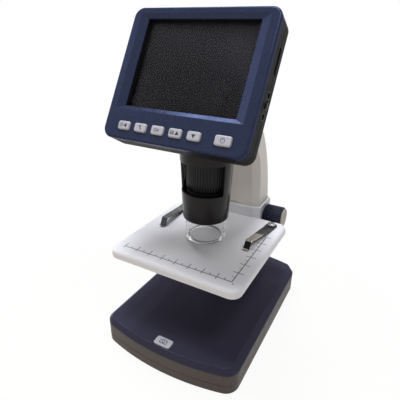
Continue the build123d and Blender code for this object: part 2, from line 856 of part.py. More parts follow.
with BuildPart() as column_bolts:
    with BuildSketch(Plane.XY.offset(ballast_z)):
        with Locations((0, core_foot_y)):
            with GridLocations(bolt_spacing_x, bolt_spacing_y, 2, 2):
                Circle(bolt_head_radius)
    extrude(amount=-bolt_head_height)
    with BuildSketch(Plane.XY.offset(ballast_z)):
        with Locations((0, core_foot_y)):
            with GridLocations(bolt_spacing_x, bolt_spacing_y, 2, 2):
                Circle(bolt_radius)
    extrude(amount=ballast_thickness + core_foot_thickness - slip)
column_bolts.part.label = "column_bolts"
export_step(column_bolts.part, "parts/column_bolts.step")

# ==== camera tube ==============================================================
sleeve_draft = (sleeve_top_radius - sleeve_bottom_radius) / (head_bottom_z - sleeve_bottom_z)
with BuildPart() as tube_sleeve:
    with BuildSketch(Plane(origin=(0, axis_y, 0), x_dir=(1, 0, 0), z_dir=(0, -1, 0))):
        with BuildLine():
            flange_z = head_bottom_z - sleeve_flange
            flange_inner = sleeve_top_radius - sleeve_draft * sleeve_flange - sleeve_wall
            Polyline(
                (sleeve_bottom_radius - sleeve_wall, sleeve_bottom_z),
                (sleeve_bottom_radius, sleeve_bottom_z),
                (sleeve_top_radius, head_bottom_z),
                (inner_tube_radius + carriage_clearance, head_bottom_z),
                (inner_tube_radius + carriage_clearance, flange_z),
                (flange_inner, flange_z),
                close=True,
            )
        make_face()
    revolve(axis=Axis((0, axis_y, 0), (0, 0, 1)))
    fillet(tube_sleeve.edges().group_by(Axis.Z)[0].sort_by(SortBy.LENGTH)[-1], sleeve_round)
    with BuildSketch(Plane.XY.offset(window_bottom_z)):
        reach = 2 * sleeve_top_radius
        spread = reach * tan(radians(window_angle / 2))
        for ahead in (-reach, reach):
            with BuildLine():
                Polyline(
                    (0, axis_y), (-spread, axis_y + ahead), (spread, axis_y + ahead), close=True
                )
            make_face()
    extrude(amount=window_top_z - window_bottom_z, mode=Mode.SUBTRACT)
    with BuildSketch(Plane.XY.offset(sleeve_bottom_z)):
        with Locations((0, axis_y)):
            Rectangle(4 * sleeve_bottom_radius, slit_width)
    extrude(amount=slit_top_z - sleeve_bottom_z, mode=Mode.SUBTRACT)
    with BuildSketch(Plane.XY.offset(head_bottom_z)):
        with Locations((0, axis_y)):
            with PolarLocations(tube_screw_circle, tube_screw_count, start_angle=90):
                Circle(tube_screw_radius + thread_gap)
    extrude(amount=-sleeve_flange, mode=Mode.SUBTRACT)
tube_sleeve.part.label = "tube_sleeve"
export_step(tube_sleeve.part, "parts/tube_sleeve.step")

flange_bottom_z = head_bottom_z + arm_wall
flange_top_z = flange_bottom_z + inner_flange_thickness
with BuildPart() as inner_tube:
    add(tube_ring(inner_tube_radius, inner_tube_bore, shoulder_top_z, flange_bottom_z - shoulder_top_z))
    add(
        tube_ring(
            shoulder_radius,
            inner_tube_bore,
            inner_tube_bottom_z,
            shoulder_top_z - inner_tube_bottom_z,
        )
    )
    add(tube_ring(inner_flange_radius, inner_tube_bore, flange_bottom_z, inner_flange_thickness))
    with BuildSketch(Plane.XY.offset(flange_bottom_z)):
        with Locations((0, axis_y)):
            with PolarLocations(tube_screw_circle, tube_screw_count, start_angle=90):
                Circle(tube_screw_radius + slip)
    extrude(amount=inner_flange_thickness, mode=Mode.SUBTRACT)
inner_tube.part.label = "inner_tube"
export_step(inner_tube.part, "parts/inner_tube.step")

with BuildPart() as tube_screws:
    with BuildSketch(Plane.XY.offset(flange_top_z)):
        with Locations((0, axis_y)):
            with PolarLocations(tube_screw_circle, tube_screw_count, start_angle=90):
                Circle(tube_screw_head)
    extrude(amount=tube_screw_head_height)
    with BuildSketch(Plane.XY.offset(flange_top_z)):
        with Locations((0, axis_y)):
            with PolarLocations(tube_screw_circle, tube_screw_count, start_angle=90):
                Circle(tube_screw_radius)
    extrude(amount=head_bottom_z - sleeve_flange - flange_top_z)
tube_screws.part.label = "tube_screws"
export_step(tube_screws.part, "parts/tube_screws.step")

with BuildPart() as sensor_board:
    with BuildSketch(Plane.XY.offset(flange_top_z)):
        with Locations((0, axis_y)):
            Circle(sensor_board_radius)
    extrude(amount=board_thickness)
    with BuildSketch(Plane.XY.offset(flange_top_z)):
        with Locations((0, axis_y)):
            Rectangle(sensor_size, sensor_size)
    extrude(amount=-sensor_height)
sensor_board.part.label = "sensor_board"
export_step(sensor_board.part, "parts/sensor_board.step")

led_board_z = inner_tube_bottom_z - board_thickness
with BuildPart() as led_board:
    add(tube_ring(led_board_radius, led_board_hole, led_board_z, board_thickness))
led_board.part.label = "led_board"
export_step(led_board.part, "parts/led_board.step")

with BuildPart() as ring_leds:
    with BuildSketch(Plane.XY.offset(led_board_z)):
        with Locations((0, axis_y)):
            with PolarLocations(led_circle, led_count):
                Circle(led_radius)
    extrude(amount=-led_length)
    fillet(ring_leds.edges().group_by(Axis.Z)[0], led_radius / 2)
ring_leds.part.label = "ring_leds"
export_step(ring_leds.part, "parts/ring_leds.step")

cap_bottom_z = stage_top_z + slip
with BuildPart() as clear_cap:
    add(tube_ring(cap_radius, cap_radius - cap_wall, cap_bottom_z, led_board_z - cap_bottom_z))
    add(tube_ring(cap_radius, cap_radius - cap_wall - cap_lip, cap_bottom_z, cap_lip_height))
    fillet(clear_cap.edges().group_by(Axis.Z)[0].sort_by(SortBy.LENGTH)[-1], cap_round)
clear_cap.part.label = "clear_cap"
export_step(clear_cap.part, "parts/clear_cap.step")

# ==== focus ring and lens ======================================================
ring_bottom_z = shoulder_top_z + ring_end_gap
ring_height = head_bottom_z - sleeve_flange - ring_end_gap - ring_bottom_z
with BuildPart() as focus_ring:
    with BuildSketch(Plane.XY.offset(ring_bottom_z)):
        with Locations((0, axis_y)):
            Circle(ring_radius - ring_rib_radius)
            with PolarLocations(ring_radius - ring_rib_radius, ring_rib_count):
                Circle(ring_rib_radius)
            Circle(inner_tube_radius + running, mode=Mode.SUBTRACT)
    extrude(amount=ring_height)
focus_ring.part.label = "focus_ring"
export_step(focus_ring.part, "parts/focus_ring.step")

barrel_radius = inner_tube_bore - running
with BuildPart() as lens_barrel:
    add(tube_ring(barrel_radius, barrel_bore, barrel_bottom_z, barrel_length))
    add(tube_ring(barrel_radius, barrel_bore - lens_seat, barrel_bottom_z, lens_z - barrel_bottom_z))
lens_barrel.part.label = "lens_barrel"
export_step(lens_barrel.part, "parts/lens_barrel.step")

lens_edge = barrel_bore - thread_gap
lens_height = lens_thickness + lens_crown
lens_dome = (lens_edge**2 + lens_crown**2) / (2 * lens_crown)
with BuildPart() as objective_lens:
    with BuildSketch(Plane.XY.offset(lens_z)):
        with Locations((0, axis_y)):
            Circle(lens_edge)
    extrude(amount=lens_height)
    with Locations((0, axis_y, lens_z + lens_height - lens_dome)):
        Sphere(lens_dome, mode=Mode.INTERSECT)
objective_lens.part.label = "objective_lens"
export_step(objective_lens.part, "parts/objective_lens.step")

# ==== stage ====================================================================
with BuildPart() as stage_plate:
    with BuildSketch(Plane.XY.offset(stage_top_z - stage_thickness)):
        with Locations((0, (stage_front + stage_rear) / 2)):
            RectangleRounded(stage_width, stage_rear - stage_front, stage_corner)
    extrude(amount=stage_thickness)
    fillet(stage_plate.edges().group_by(Axis.Z)[-1], stage_edge_round)
    fillet(stage_plate.edges().group_by(Axis.Z)[0], stage_under_round)
    with BuildSketch(Plane.XY.offset(stage_top_z - stage_thickness)):
        add(column_outline(carriage_wall + slip))
    extrude(amount=stage_thickness, mode=Mode.SUBTRACT)
    with BuildSketch(Plane.XY.offset(stage_top_z)):
        with GridLocations(2 * clip_x, 0, 2, 1):
            with Locations((0, clip_y)):
                Circle(clip_pin_radius + thread_gap)
    extrude(amount=-clip_pin_depth - slip, mode=Mode.SUBTRACT)
    with BuildSketch(Plane.XY.offset(stage_top_z - stage_thickness)):
        with Locations((0, (stage_screw_front + stage_screw_rear) / 2)):
            with GridLocations(2 * stage_screw_x, stage_screw_rear - stage_screw_front, 2, 2):
                Circle(screw_radius + thread_gap)
    extrude(amount=stage_screw_grip + slip, mode=Mode.SUBTRACT)
stage_plate.part.label = "stage_plate"
export_step(stage_plate.part, "parts/stage_plate.step")

tongue_z = stage_top_z - stage_thickness - tongue_thickness
lock_plane = Plane(
    origin=(column_width / 2 + carriage_wall, lock_y, lock_z), x_dir=(0, 1, 0), z_dir=(1, 0, 0)
)
bush_depth = skim + lock_pad_thickness + lock_travel + skim - carriage_wall
with BuildPart() as stage_carriage:
    with BuildSketch(Plane.XY.offset(tongue_z)):
        with Locations((0, column_front - carriage_wall)):
            Rectangle(tongue_width, 2 * tongue_reach)
    extrude(amount=tongue_thickness)
    with BuildSketch(Plane.XY.offset(carriage_bottom_z)):
        add(column_outline(carriage_wall))
    extrude(amount=carriage_top_z - carriage_bottom_z)
    chamfer(stage_carriage.edges().group_by(Axis.Z)[-1], seam)
    with BuildSketch(lock_plane):
        Circle(lock_boss_radius)
    extrude(amount=lock_boss_length)
    with BuildSketch(Plane.XY.offset(carriage_bottom_z)):
        add(column_outline(carriage_clearance))
    extrude(amount=carriage_top_z - carriage_bottom_z, mode=Mode.SUBTRACT)
    with BuildSketch(lock_plane.offset(bush_depth)):
        Circle(lock_pad_radius + skim)
    extrude(amount=-bush_depth - carriage_wall, mode=Mode.SUBTRACT)
    with BuildSketch(lock_plane.offset(bush_depth)):
        Circle(lock_bush_radius)
    extrude(amount=lock_boss_length - bush_depth, mode=Mode.SUBTRACT)
    with BuildSketch(Plane.XY.offset(tongue_z)):
        with Locations((0, (stage_screw_front + stage_screw_rear) / 2)):
            with GridLocations(2 * stage_screw_x, stage_screw_rear - stage_screw_front, 2, 2):
                Circle(screw_radius + slip)
    extrude(amount=tongue_thickness, mode=Mode.SUBTRACT)
    with BuildSketch(Plane.XY.offset(tongue_z)):
        with Locations((0, (stage_screw_front + stage_screw_rear) / 2)):
            with GridLocations(2 * stage_screw_x, stage_screw_rear - stage_screw_front, 2, 2):
                Circle(screw_head_radius + slip)
    extrude(amount=screw_head_height, mode=Mode.SUBTRACT)
stage_carriage.part.label = "stage_carriage"
export_step(stage_carriage.part, "parts/stage_carriage.step")

with BuildPart() as stage_screws:
    with BuildSketch(Plane.XY.offset(tongue_z)):
        with Locations((0, (stage_screw_front + stage_screw_rear) / 2)):
            with GridLocations(2 * stage_screw_x, stage_screw_rear - stage_screw_front, 2, 2):
                Circle(screw_head_radius)
    extrude(amount=screw_head_height)
    with BuildSketch(Plane.XY.offset(tongue_z)):
        with Locations((0, (stage_screw_front + stage_screw_rear) / 2)):
            with GridLocations(2 * stage_screw_x, stage_screw_rear - stage_screw_front, 2, 2):
                Circle(screw_radius)
    extrude(amount=tongue_thickness + stage_screw_grip)
stage_screws.part.label = "stage_screws"
export_step(stage_screws.part, "parts/stage_screws.step")

# ==== stage lock ===============================================================
with BuildPart() as lock_bush:
    with BuildSketch(lock_plane.offset(bush_depth)):
        Circle(lock_bush_radius)
        Circle(lock_spindle_radius + running, mode=Mode.SUBTRACT)
    extrude(amount=lock_boss_length - bush_depth)
lock_bush.part.label = "lock_bush"
export_step(lock_bush.part, "parts/lock_bush.step")

pad_plane = lock_plane.offset(skim - carriage_wall)
with BuildPart() as lock_pad:
    with BuildSketch(pad_plane):
        Circle(lock_pad_radius)
    extrude(amount=lock_pad_thickness)
lock_pad.part.label = "lock_pad"
export_step(lock_pad.part, "parts/lock_pad.step")

with BuildPart() as lock_knob:
    with BuildSketch(lock_plane.offset(knob_gap)):
        Circle(knob_radius - knob_rib_radius)
        with PolarLocations(knob_radius - knob_rib_radius, knob_rib_count):
            Circle(knob_rib_radius)
    extrude(amount=knob_length)
    with BuildSketch(lock_plane.offset(knob_gap)):
        Circle(knob_radius - knob_wall)
    extrude(amount=knob_cavity_depth, mode=Mode.SUBTRACT)
    with BuildSketch(lock_plane.offset(knob_gap + knob_cavity_depth)):
        Circle(lock_spindle_radius)
    extrude(amount=lock_spindle_grip, mode=Mode.SUBTRACT)
lock_knob.part.label = "lock_knob"
export_step(lock_knob.part, "parts/lock_knob.step")

with BuildPart() as lock_knob_cap:
    with BuildSketch(lock_plane.offset(knob_gap + knob_length)):
        Circle(knob_cap_radius)
    extrude(amount=knob_cap_thickness)
    fillet(lock_knob_cap.edges().group_by(Axis.X)[-1], knob_cap_round)
lock_knob_cap.part.label = "lock_knob_cap"
export_step(lock_knob_cap.part, "parts/lock_knob_cap.step")

with BuildPart() as lock_spindle:
    with BuildSketch(pad_plane.offset(lock_pad_thickness)):
        Circle(lock_spindle_radius)
    extrude(
        amount=carriage_wall - skim - lock_pad_thickness
        + knob_gap + knob_cavity_depth + lock_spindle_grip
    )
lock_spindle.part.label = "lock_spindle"
export_step(lock_spindle.part, "parts/lock_spindle.step")

# ==== stage clips ==============================================================
with BuildPart() as stage_clip_left:
    add(stage_clip(-1))
stage_clip_left.part.label = "stage_clip_left"
export_step(stage_clip_left.part, "parts/stage_clip_left.step")

with BuildPart() as stage_clip_right:
    add(stage_clip(1))
stage_clip_right.part.label = "stage_clip_right"
export_step(stage_clip_right.part, "parts/stage_clip_right.step")

clip_head_z = stage_top_z + 2 * skim + clip_thickness
with BuildPart() as clip_screws:
    with BuildSketch(Plane.XY.offset(clip_head_z)):
        with Locations((-clip_x, clip_y), (clip_x, clip_y)):
            Circle(clip_head_radius)
    extrude(amount=clip_head_height)
    fillet(clip_screws.edges().group_by(Axis.Z)[-1], button_round)
    with BuildSketch(Plane.XY.offset(clip_head_z)):
        with Locations((-clip_x, clip_y), (clip_x, clip_y)):
            Circle(clip_pin_radius)
    extrude(amount=stage_top_z - clip_pin_depth - clip_head_z)
clip_screws.part.label = "clip_screws"
export_step(clip_screws.part, "parts/clip_screws.step")

# ==== display case =============================================================
screw_rows = [display_screw_top, display_screw_bottom]
display_screws_at = [(x, v) for x in (-display_screw_x, display_screw_x) for v in screw_rows]
with BuildPart() as display_bezel:
    with BuildSketch(face.offset(-bezel_depth)):
        add(case_outline(0))
    extrude(amount=bezel_depth + rim_height)
    fillet(display_bezel.faces().sort_by(face_normal)[-1].edges(), rim_round)
    with BuildSketch(face.offset(-bezel_depth)):
        add(case_outline(display_wall))
        with Locations(display_screws_at):
            Circle(small_boss_radius, mode=Mode.SUBTRACT)
    extrude(amount=bezel_depth - bezel_lip, mode=Mode.SUBTRACT)
    with BuildSketch(face.offset(-bezel_lip)):
        Rectangle(screen_width, screen_height)
        with Locations([(x, key_row) for x in key_places]):
            RectangleRounded(key_width + 2 * key_gap, key_height + 2 * key_gap, key_corner)
        with Locations((power_x, key_row)):
            RectangleRounded(power_width + 2 * key_gap, power_height + 2 * key_gap, key_corner)
    extrude(amount=bezel_lip + rim_height, mode=Mode.SUBTRACT)
    with BuildSketch(face):
        Rectangle(screen_width, screen_height)
    with BuildSketch(face.offset(rim_height)):
        Rectangle(screen_width + 2 * slope_side, screen_height + 2 * slope_end)
    loft(ruled=True, mode=Mode.SUBTRACT)
    with BuildSketch(face.offset(-bezel_depth)):
        with Locations(display_screws_at):
            Circle(small_screw_radius + thread_gap)
    extrude(amount=bezel_depth, mode=Mode.SUBTRACT)
display_bezel.part.label = "display_bezel"
export_step(display_bezel.part, "parts/display_bezel.step")

with BuildPart() as side_openings:
    for row in jack_rows:
        with BuildSketch(wall_plane(row, 1)):
            Circle(jack_radius + thread_gap)
        extrude(amount=-display_wall)
    with BuildSketch(wall_plane(card_row, 1)):
        RectangleRounded(card_slot_length, card_slot_width, card_slot_width / 2 - thread_gap)
    extrude(amount=-display_wall)
    with BuildSketch(wall_plane(card_row, 1)):
        RectangleRounded(card_notch_length, card_notch_width, card_slot_width / 2)
    extrude(amount=-card_notch_depth)
    with BuildSketch(wall_plane(usb_row, -1)):
        Rectangle(usb_length + 2 * thread_gap, usb_width + 2 * thread_gap)
    extrude(amount=-display_wall)
    with BuildSketch(face.offset(-socket_depth - wheel_thickness / 2 - seam)):
        with Locations((wheel_x, wheel_row)):
            Circle(wheel_radius + seam)
    extrude(amount=wheel_thickness + 2 * seam)

with BuildPart() as display_frame:
    with BuildSketch(face.offset(-frame_back)):
        add(case_outline(0))
    extrude(amount=frame_back - bezel_depth)
    chamfer(display_frame.faces().sort_by(face_normal)[-1].edges(), seam)
    chamfer(display_frame.faces().sort_by(face_normal)[0].edges(), seam)
    with BuildSketch(face.offset(-frame_back)):
        add(case_outline(display_wall))
        with Locations(display_screws_at):
            Circle(small_boss_radius, mode=Mode.SUBTRACT)
    extrude(amount=frame_back - bezel_depth, mode=Mode.SUBTRACT)
    with BuildSketch(face.offset(-frame_back)):
        add(case_outline(display_wall))
        with Locations((0, (display_top - display_bottom) / 2)):
            Rectangle(lcd_width, display_top + display_bottom, mode=Mode.INTERSECT)
        with Locations((display_width / 2 - display_wall - card_body_depth / 2, card_row)):
            Rectangle(card_body_depth + 2 * slip, card_body_length + 2 * slip, mode=Mode.SUBTRACT)
    extrude(amount=frame_back + middle_front)
    with BuildSketch(face.offset(-frame_back)):
        with GridLocations(2 * standoff_x, 2 * standoff_row, 2, 2):
            Circle(standoff_radius)
    extrude(amount=-main_board_gap)
    with BuildSketch(face.offset(middle_front)):
        with Locations((0, key_row)):
            with GridLocations(2 * key_pitch, 0, key_count - 1, 1):
                Circle(keypad_post_radius)
    extrude(amount=keypad_front - board_thickness - middle_front)
    add(side_openings.part, mode=Mode.SUBTRACT)
    with BuildSketch(face.offset(-frame_back)):
        with Locations(display_screws_at):
            Circle(small_screw_radius + slip)
    extrude(amount=frame_back, mode=Mode.SUBTRACT)
    hole_place = face.from_local_coords(
        (pin_hole_x, -display_bottom, -(bezel_depth + frame_back) / 2)
    )
    with BuildSketch(Plane(origin=hole_place, x_dir=(1, 0, 0), z_dir=-face.y_dir)):
        with GridLocations(pin_hole_spacing, 0, 2, 1):
            Circle(pin_hole)
    extrude(amount=-display_wall, mode=Mode.SUBTRACT)
display_frame.part.label = "display_frame"
export_step(display_frame.part, "parts/display_frame.step")

with BuildPart() as display_rear_cover:
    with BuildSketch(face.offset(-display_depth)):
        add(case_outline(0))
    extrude(amount=display_depth - frame_back)
    chamfer(display_rear_cover.faces().sort_by(face_normal)[-1].edges(), seam)
    fillet(display_rear_cover.faces().sort_by(face_normal)[0].edges(), rear_round)
    with BuildSketch(face.offset(rear_floor - display_depth)):
        add(case_outline(display_wall))
        with Locations(display_screws_at):
            Circle(small_boss_radius, mode=Mode.SUBTRACT)
    extrude(amount=display_depth - rear_floor - frame_back, mode=Mode.SUBTRACT)
    add(side_openings.part, mode=Mode.SUBTRACT)
    with BuildSketch(face.offset(rear_floor - display_depth)):
        with Locations((wheel_x, wheel_row)):
            Circle(wheel_axle)
    extrude(amount=display_depth - rear_floor - socket_depth + wheel_thickness / 2)
    with BuildSketch(face.offset(-display_depth)):
        with Locations(display_screws_at):
            Circle(small_screw_radius + slip)
    extrude(amount=display_depth - frame_back, mode=Mode.SUBTRACT)
    with BuildSketch(face.offset(-display_depth)):
        with Locations(display_screws_at):
            Circle(small_head_radius + slip)
    extrude(amount=small_head_height + rear_round, mode=Mode.SUBTRACT)
    with BuildSketch(face.offset(-display_depth)):
        with Locations((0, hinge_row)):
            with GridLocations(2 * bracket_screw_x, bracket_height - 2 * bracket_screw_inset, 2, 2):
                Circle(small_screw_radius + thread_gap)
    extrude(amount=rear_floor, mode=Mode.SUBTRACT)
display_rear_cover.part.label = "display_rear_cover"
export_step(display_rear_cover.part, "parts/display_rear_cover.step")

with BuildPart() as display_screws:
    with BuildSketch(face.offset(rear_round - display_depth)):
        with Locations(display_screws_at):
            Circle(small_head_radius)
    extrude(amount=small_head_height)
    with BuildSketch(face.offset(rear_round - display_depth)):
        with Locations(display_screws_at):
            Circle(small_screw_radius)
    extrude(amount=display_depth - rear_round - skim)
display_screws.part.label = "display_screws"
export_step(display_screws.part, "parts/display_screws.step")

# ==== screen ===================================================================
with BuildPart() as screen_gasket:
    with BuildSketch(face.offset(window_front)):
        Rectangle(screen_width + 2 * gasket_width, screen_height + 2 * gasket_width)
        Rectangle(screen_width, screen_height, mode=Mode.SUBTRACT)
    extrude(amount=gasket_front - window_front)
screen_gasket.part.label = "screen_gasket"
export_step(screen_gasket.part, "parts/screen_gasket.step")

with BuildPart() as screen_window:
    with BuildSketch(face.offset(lcd_front)):
        Rectangle(screen_width + 2 * gasket_width, screen_height + 2 * gasket_width)
    extrude(amount=window_thickness)
screen_window.part.label = "screen_window"
export_step(screen_window.part, "parts/screen_window.step")

with BuildPart() as lcd_panel:
    with BuildSketch(face.offset(middle_front)):
        with Locations((0, lcd_centre)):
            Rectangle(lcd_width, lcd_height)
    extrude(amount=lcd_thickness)
lcd_panel.part.label = "lcd_panel"
export_step(lcd_panel.part, "parts/lcd_panel.step")

# ==== boards, battery and sockets in the display ===============================
with BuildPart() as keypad_board:
    with BuildSketch(face.offset(keypad_front - board_thickness)):
        with Locations((0, key_row)):
            Rectangle(keypad_width, keypad_height)
    extrude(amount=board_thickness)
    with BuildSketch(face.offset(keypad_front)):
        with Locations([(x, key_row) for x in key_places + [power_x]]):
            Rectangle(key_switch, key_switch)
    extrude(amount=key_switch_height)
    with BuildSketch(face.offset(keypad_front + key_switch_height)):
        with Locations([(x, key_row) for x in key_places + [power_x]]):
            Circle(plunger_radius)
    extrude(amount=plunger_height)
keypad_board.part.label = "keypad_board"
export_step(keypad_board.part, "parts/keypad_board.step")

with BuildPart() as main_board:
    with BuildSketch(face.offset(main_front)):
        Rectangle(main_board_width, main_board_height)
    extrude(amount=-main_board_thickness)
main_board.part.label = "main_board"
export_step(main_board.part, "parts/main_board.step")

with BuildPart() as battery:
    with BuildSketch(face.offset(rear_floor - display_depth)):
        Rectangle(battery_width, battery_height)
    extrude(amount=battery_thickness)
battery.part.label = "battery"
export_step(battery.part, "parts/battery.step")

with BuildPart() as card_socket:
    with BuildSketch(wall_plane(card_row, 1).offset(-display_wall)):
        Rectangle(card_body_length, card_body_width)
        Rectangle(card_slot_length, card_slot_width, mode=Mode.SUBTRACT)
    extrude(amount=-card_body_depth)
card_socket.part.label = "card_socket"
export_step(card_socket.part, "parts/card_socket.step")

with BuildPart() as usb_socket:
    with BuildSketch(wall_plane(usb_row, -1)):
        Rectangle(usb_length, usb_width)
    extrude(amount=-usb_depth)
    with BuildSketch(wall_plane(usb_row, -1)):
        Rectangle(usb_length - 2 * usb_wall, usb_width - 2 * usb_wall)
        Rectangle(usb_length - 4 * usb_wall, usb_tongue, mode=Mode.SUBTRACT)
    extrude(amount=usb_wall - usb_depth, mode=Mode.SUBTRACT)
usb_socket.part.label = "usb_socket"
export_step(usb_socket.part, "parts/usb_socket.step")

with BuildPart() as side_jacks:
    for row in jack_rows:
        with BuildSketch(wall_plane(row, 1)):
            Circle(jack_radius)
        extrude(amount=-jack_length)
        with BuildSketch(wall_plane(row, 1)):
            Circle(jack_bore)
        extrude(amount=jack_floor - jack_length, mode=Mode.SUBTRACT)
side_jacks.part.label = "side_jacks"
export_step(side_jacks.part, "parts/side_jacks.step")

# ==== buttons and wheel of the display =========================================
with BuildPart() as back_button:
    add(display_key(key_width, key_height, key_places[0]))
back_button.part.label = "back_button"
export_step(back_button.part, "parts/back_button.step")

with BuildPart() as light_button:
    add(display_key(key_width, key_height, key_places[1]))
light_button.part.label = "light_button"
export_step(light_button.part, "parts/light_button.step")

with BuildPart() as ok_button:
    add(display_key(key_width, key_height, key_places[2]))
ok_button.part.label = "ok_button"
export_step(ok_button.part, "parts/ok_button.step")

with BuildPart() as up_button:
    add(display_key(key_width, key_height, key_places[3]))
up_button.part.label = "up_button"
export_step(up_button.part, "parts/up_button.step")

with BuildPart() as down_button:
    add(display_key(key_width, key_height, key_places[4]))
down_button.part.label = "down_button"
export_step(down_button.part, "parts/down_button.step")

with BuildPart() as power_button:
    add(display_key(power_width, power_height, power_x))
power_button.part.label = "power_button"
export_step(power_button.part, "parts/power_button.step")

with BuildPart() as dimmer_wheel:
    with BuildSketch(face.offset(-socket_depth - wheel_thickness / 2)):
        with Locations((wheel_x, wheel_row)):
            Circle(wheel_radius)
            Circle(wheel_axle + running, mode=Mode.SUBTRACT)
            with PolarLocations(wheel_radius, wheel_notches):
                Circle(wheel_notch_radius, mode=Mode.SUBTRACT)
    extrude(amount=wheel_thickness)
dimmer_wheel.part.label = "dimmer_wheel"
export_step(dimmer_wheel.part, "parts/dimmer_wheel.step")

# ==== display hinge ============================================================
with BuildPart() as display_hinge_bracket:
    with BuildSketch(face.offset(-display_depth - bracket_plate)):
        with Locations((0, hinge_row)):
            RectangleRounded(2 * (bracket_inner + bracket_lug), bracket_height, bracket_corner)
    extrude(amount=bracket_plate)
    for side in (-1, 1):
        lug_face = face.from_local_coords((side * bracket_inner, hinge_row, hinge_back))
        lug_plane = Plane(origin=lug_face, x_dir=face.y_dir, z_dir=(1, 0, 0))
        lug_reach = -display_depth - bracket_plate - hinge_back
        with BuildSketch(lug_plane):
            Circle(hinge_lug_radius)
            with Locations((0, lug_reach / 2)):
                Rectangle(2 * hinge_lug_radius, lug_reach)
            Circle(hinge_pin_radius + running, mode=Mode.SUBTRACT)
        extrude(amount=side * bracket_lug)
    with BuildSketch(face.offset(-display_depth)):
        with Locations((0, hinge_row)):
            with GridLocations(2 * bracket_screw_x, bracket_height - 2 * bracket_screw_inset, 2, 2):
                Circle(small_screw_radius + thread_gap)
    extrude(amount=-bracket_plate, mode=Mode.SUBTRACT)
display_hinge_bracket.part.label = "display_hinge_bracket"
export_step(display_hinge_bracket.part, "parts/display_hinge_bracket.step")

with BuildPart() as bracket_screws:
    with BuildSketch(face.offset(-display_depth - bracket_plate)):
        with Locations((0, hinge_row)):
            with GridLocations(2 * bracket_screw_x, bracket_height - 2 * bracket_screw_inset, 2, 2):
                Circle(small_head_radius)
    extrude(amount=-small_head_height)
    with BuildSketch(face.offset(-display_depth - bracket_plate)):
        with Locations((0, hinge_row)):
            with GridLocations(2 * bracket_screw_x, bracket_height - 2 * bracket_screw_inset, 2, 2):
                Circle(small_screw_radius)
    extrude(amount=bracket_plate + rear_floor - slip)
bracket_screws.part.label = "bracket_screws"
export_step(bracket_screws.part, "parts/bracket_screws.step")

clevis_inner = bracket_inner + bracket_lug + 2 * hinge_side_gap + washer_thickness
clevis_outer = clevis_inner + clevis_lug
with BuildPart() as hinge_clevis:
    with BuildSketch(Plane.XY.offset(head_top_z)):
        with Locations((0, clevis_middle)):
            RectangleRounded(2 * clevis_outer, clevis_rear - clevis_front, clevis_corner)
    extrude(amount=clevis_plate)
    for side in (-1, 1):
        with BuildSketch(Plane.YZ.offset(side * clevis_inner)):
            with Locations((hinge_y, hinge_z)):
                Circle(hinge_lug_radius)
            with Locations((hinge_y, (hinge_z + head_top_z + clevis_plate) / 2)):
                Rectangle(2 * hinge_lug_radius, hinge_z - head_top_z - clevis_plate)
            with Locations((hinge_y, hinge_z)):
                Circle(hinge_pin_radius + running, mode=Mode.SUBTRACT)
        extrude(amount=side * clevis_lug)
    with BuildSketch(Plane.XY.offset(head_top_z)):
        with Locations(clevis_screws_at):
            Circle(small_screw_radius + thread_gap)
    extrude(amount=clevis_plate, mode=Mode.SUBTRACT)
hinge_clevis.part.label = "hinge_clevis"
export_step(hinge_clevis.part, "parts/hinge_clevis.step")

with BuildPart() as clevis_screws:
    with BuildSketch(Plane.XY.offset(head_top_z + clevis_plate)):
        with Locations(clevis_screws_at):
            Circle(small_head_radius)
    extrude(amount=small_head_height)
    with BuildSketch(Plane.XY.offset(head_top_z + clevis_plate)):
        with Locations(clevis_screws_at):
            Circle(small_screw_radius)
    extrude(amount=slip - clevis_plate - arm_wall)
clevis_screws.part.label = "clevis_screws"
export_step(clevis_screws.part, "parts/clevis_screws.step")

with BuildPart() as hinge_pin:
    with BuildSketch(Plane.YZ.offset(-clevis_outer - hinge_pin_reach)):
        with Locations((hinge_y, hinge_z)):
            Circle(hinge_pin_radius)
    extrude(amount=2 * clevis_outer + hinge_pin_reach + hinge_head_length)
    with BuildSketch(Plane.YZ.offset(clevis_outer)):
        with Locations((hinge_y, hinge_z)):
            Circle(hinge_head_radius)
    extrude(amount=hinge_head_length)
hinge_pin.part.label = "hinge_pin"
export_step(hinge_pin.part, "parts/hinge_pin.step")

with BuildPart() as hinge_washers:
    for side in (-1, 1):
        with BuildSketch(Plane.YZ.offset(side * (clevis_inner - hinge_side_gap))):
            with Locations((hinge_y, hinge_z)):
                Circle(washer_radius)
                Circle(hinge_pin_radius + running, mode=Mode.SUBTRACT)
        extrude(amount=-side * washer_thickness)
hinge_washers.part.label = "hinge_washers"
export_step(hinge_washers.part, "parts/hinge_washers.step")
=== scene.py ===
import json
from math import cos, pi, radians, sin

import bmesh
import bpy
import numpy as np
from mathutils import Matrix, Vector


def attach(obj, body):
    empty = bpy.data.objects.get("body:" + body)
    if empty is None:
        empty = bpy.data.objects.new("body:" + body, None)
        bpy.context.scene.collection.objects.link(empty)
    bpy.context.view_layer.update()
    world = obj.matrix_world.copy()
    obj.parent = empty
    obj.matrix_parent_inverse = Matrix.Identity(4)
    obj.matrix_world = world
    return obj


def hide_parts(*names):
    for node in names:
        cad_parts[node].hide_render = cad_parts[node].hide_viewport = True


print("loading the solids")
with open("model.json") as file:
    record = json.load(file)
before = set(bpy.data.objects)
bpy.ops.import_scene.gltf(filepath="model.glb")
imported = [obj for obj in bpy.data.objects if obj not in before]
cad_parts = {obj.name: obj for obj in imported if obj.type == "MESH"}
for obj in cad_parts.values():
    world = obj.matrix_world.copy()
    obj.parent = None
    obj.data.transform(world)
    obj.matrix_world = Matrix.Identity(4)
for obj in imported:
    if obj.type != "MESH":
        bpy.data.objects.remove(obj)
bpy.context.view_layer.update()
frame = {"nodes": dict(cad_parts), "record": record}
nodes = frame["nodes"]

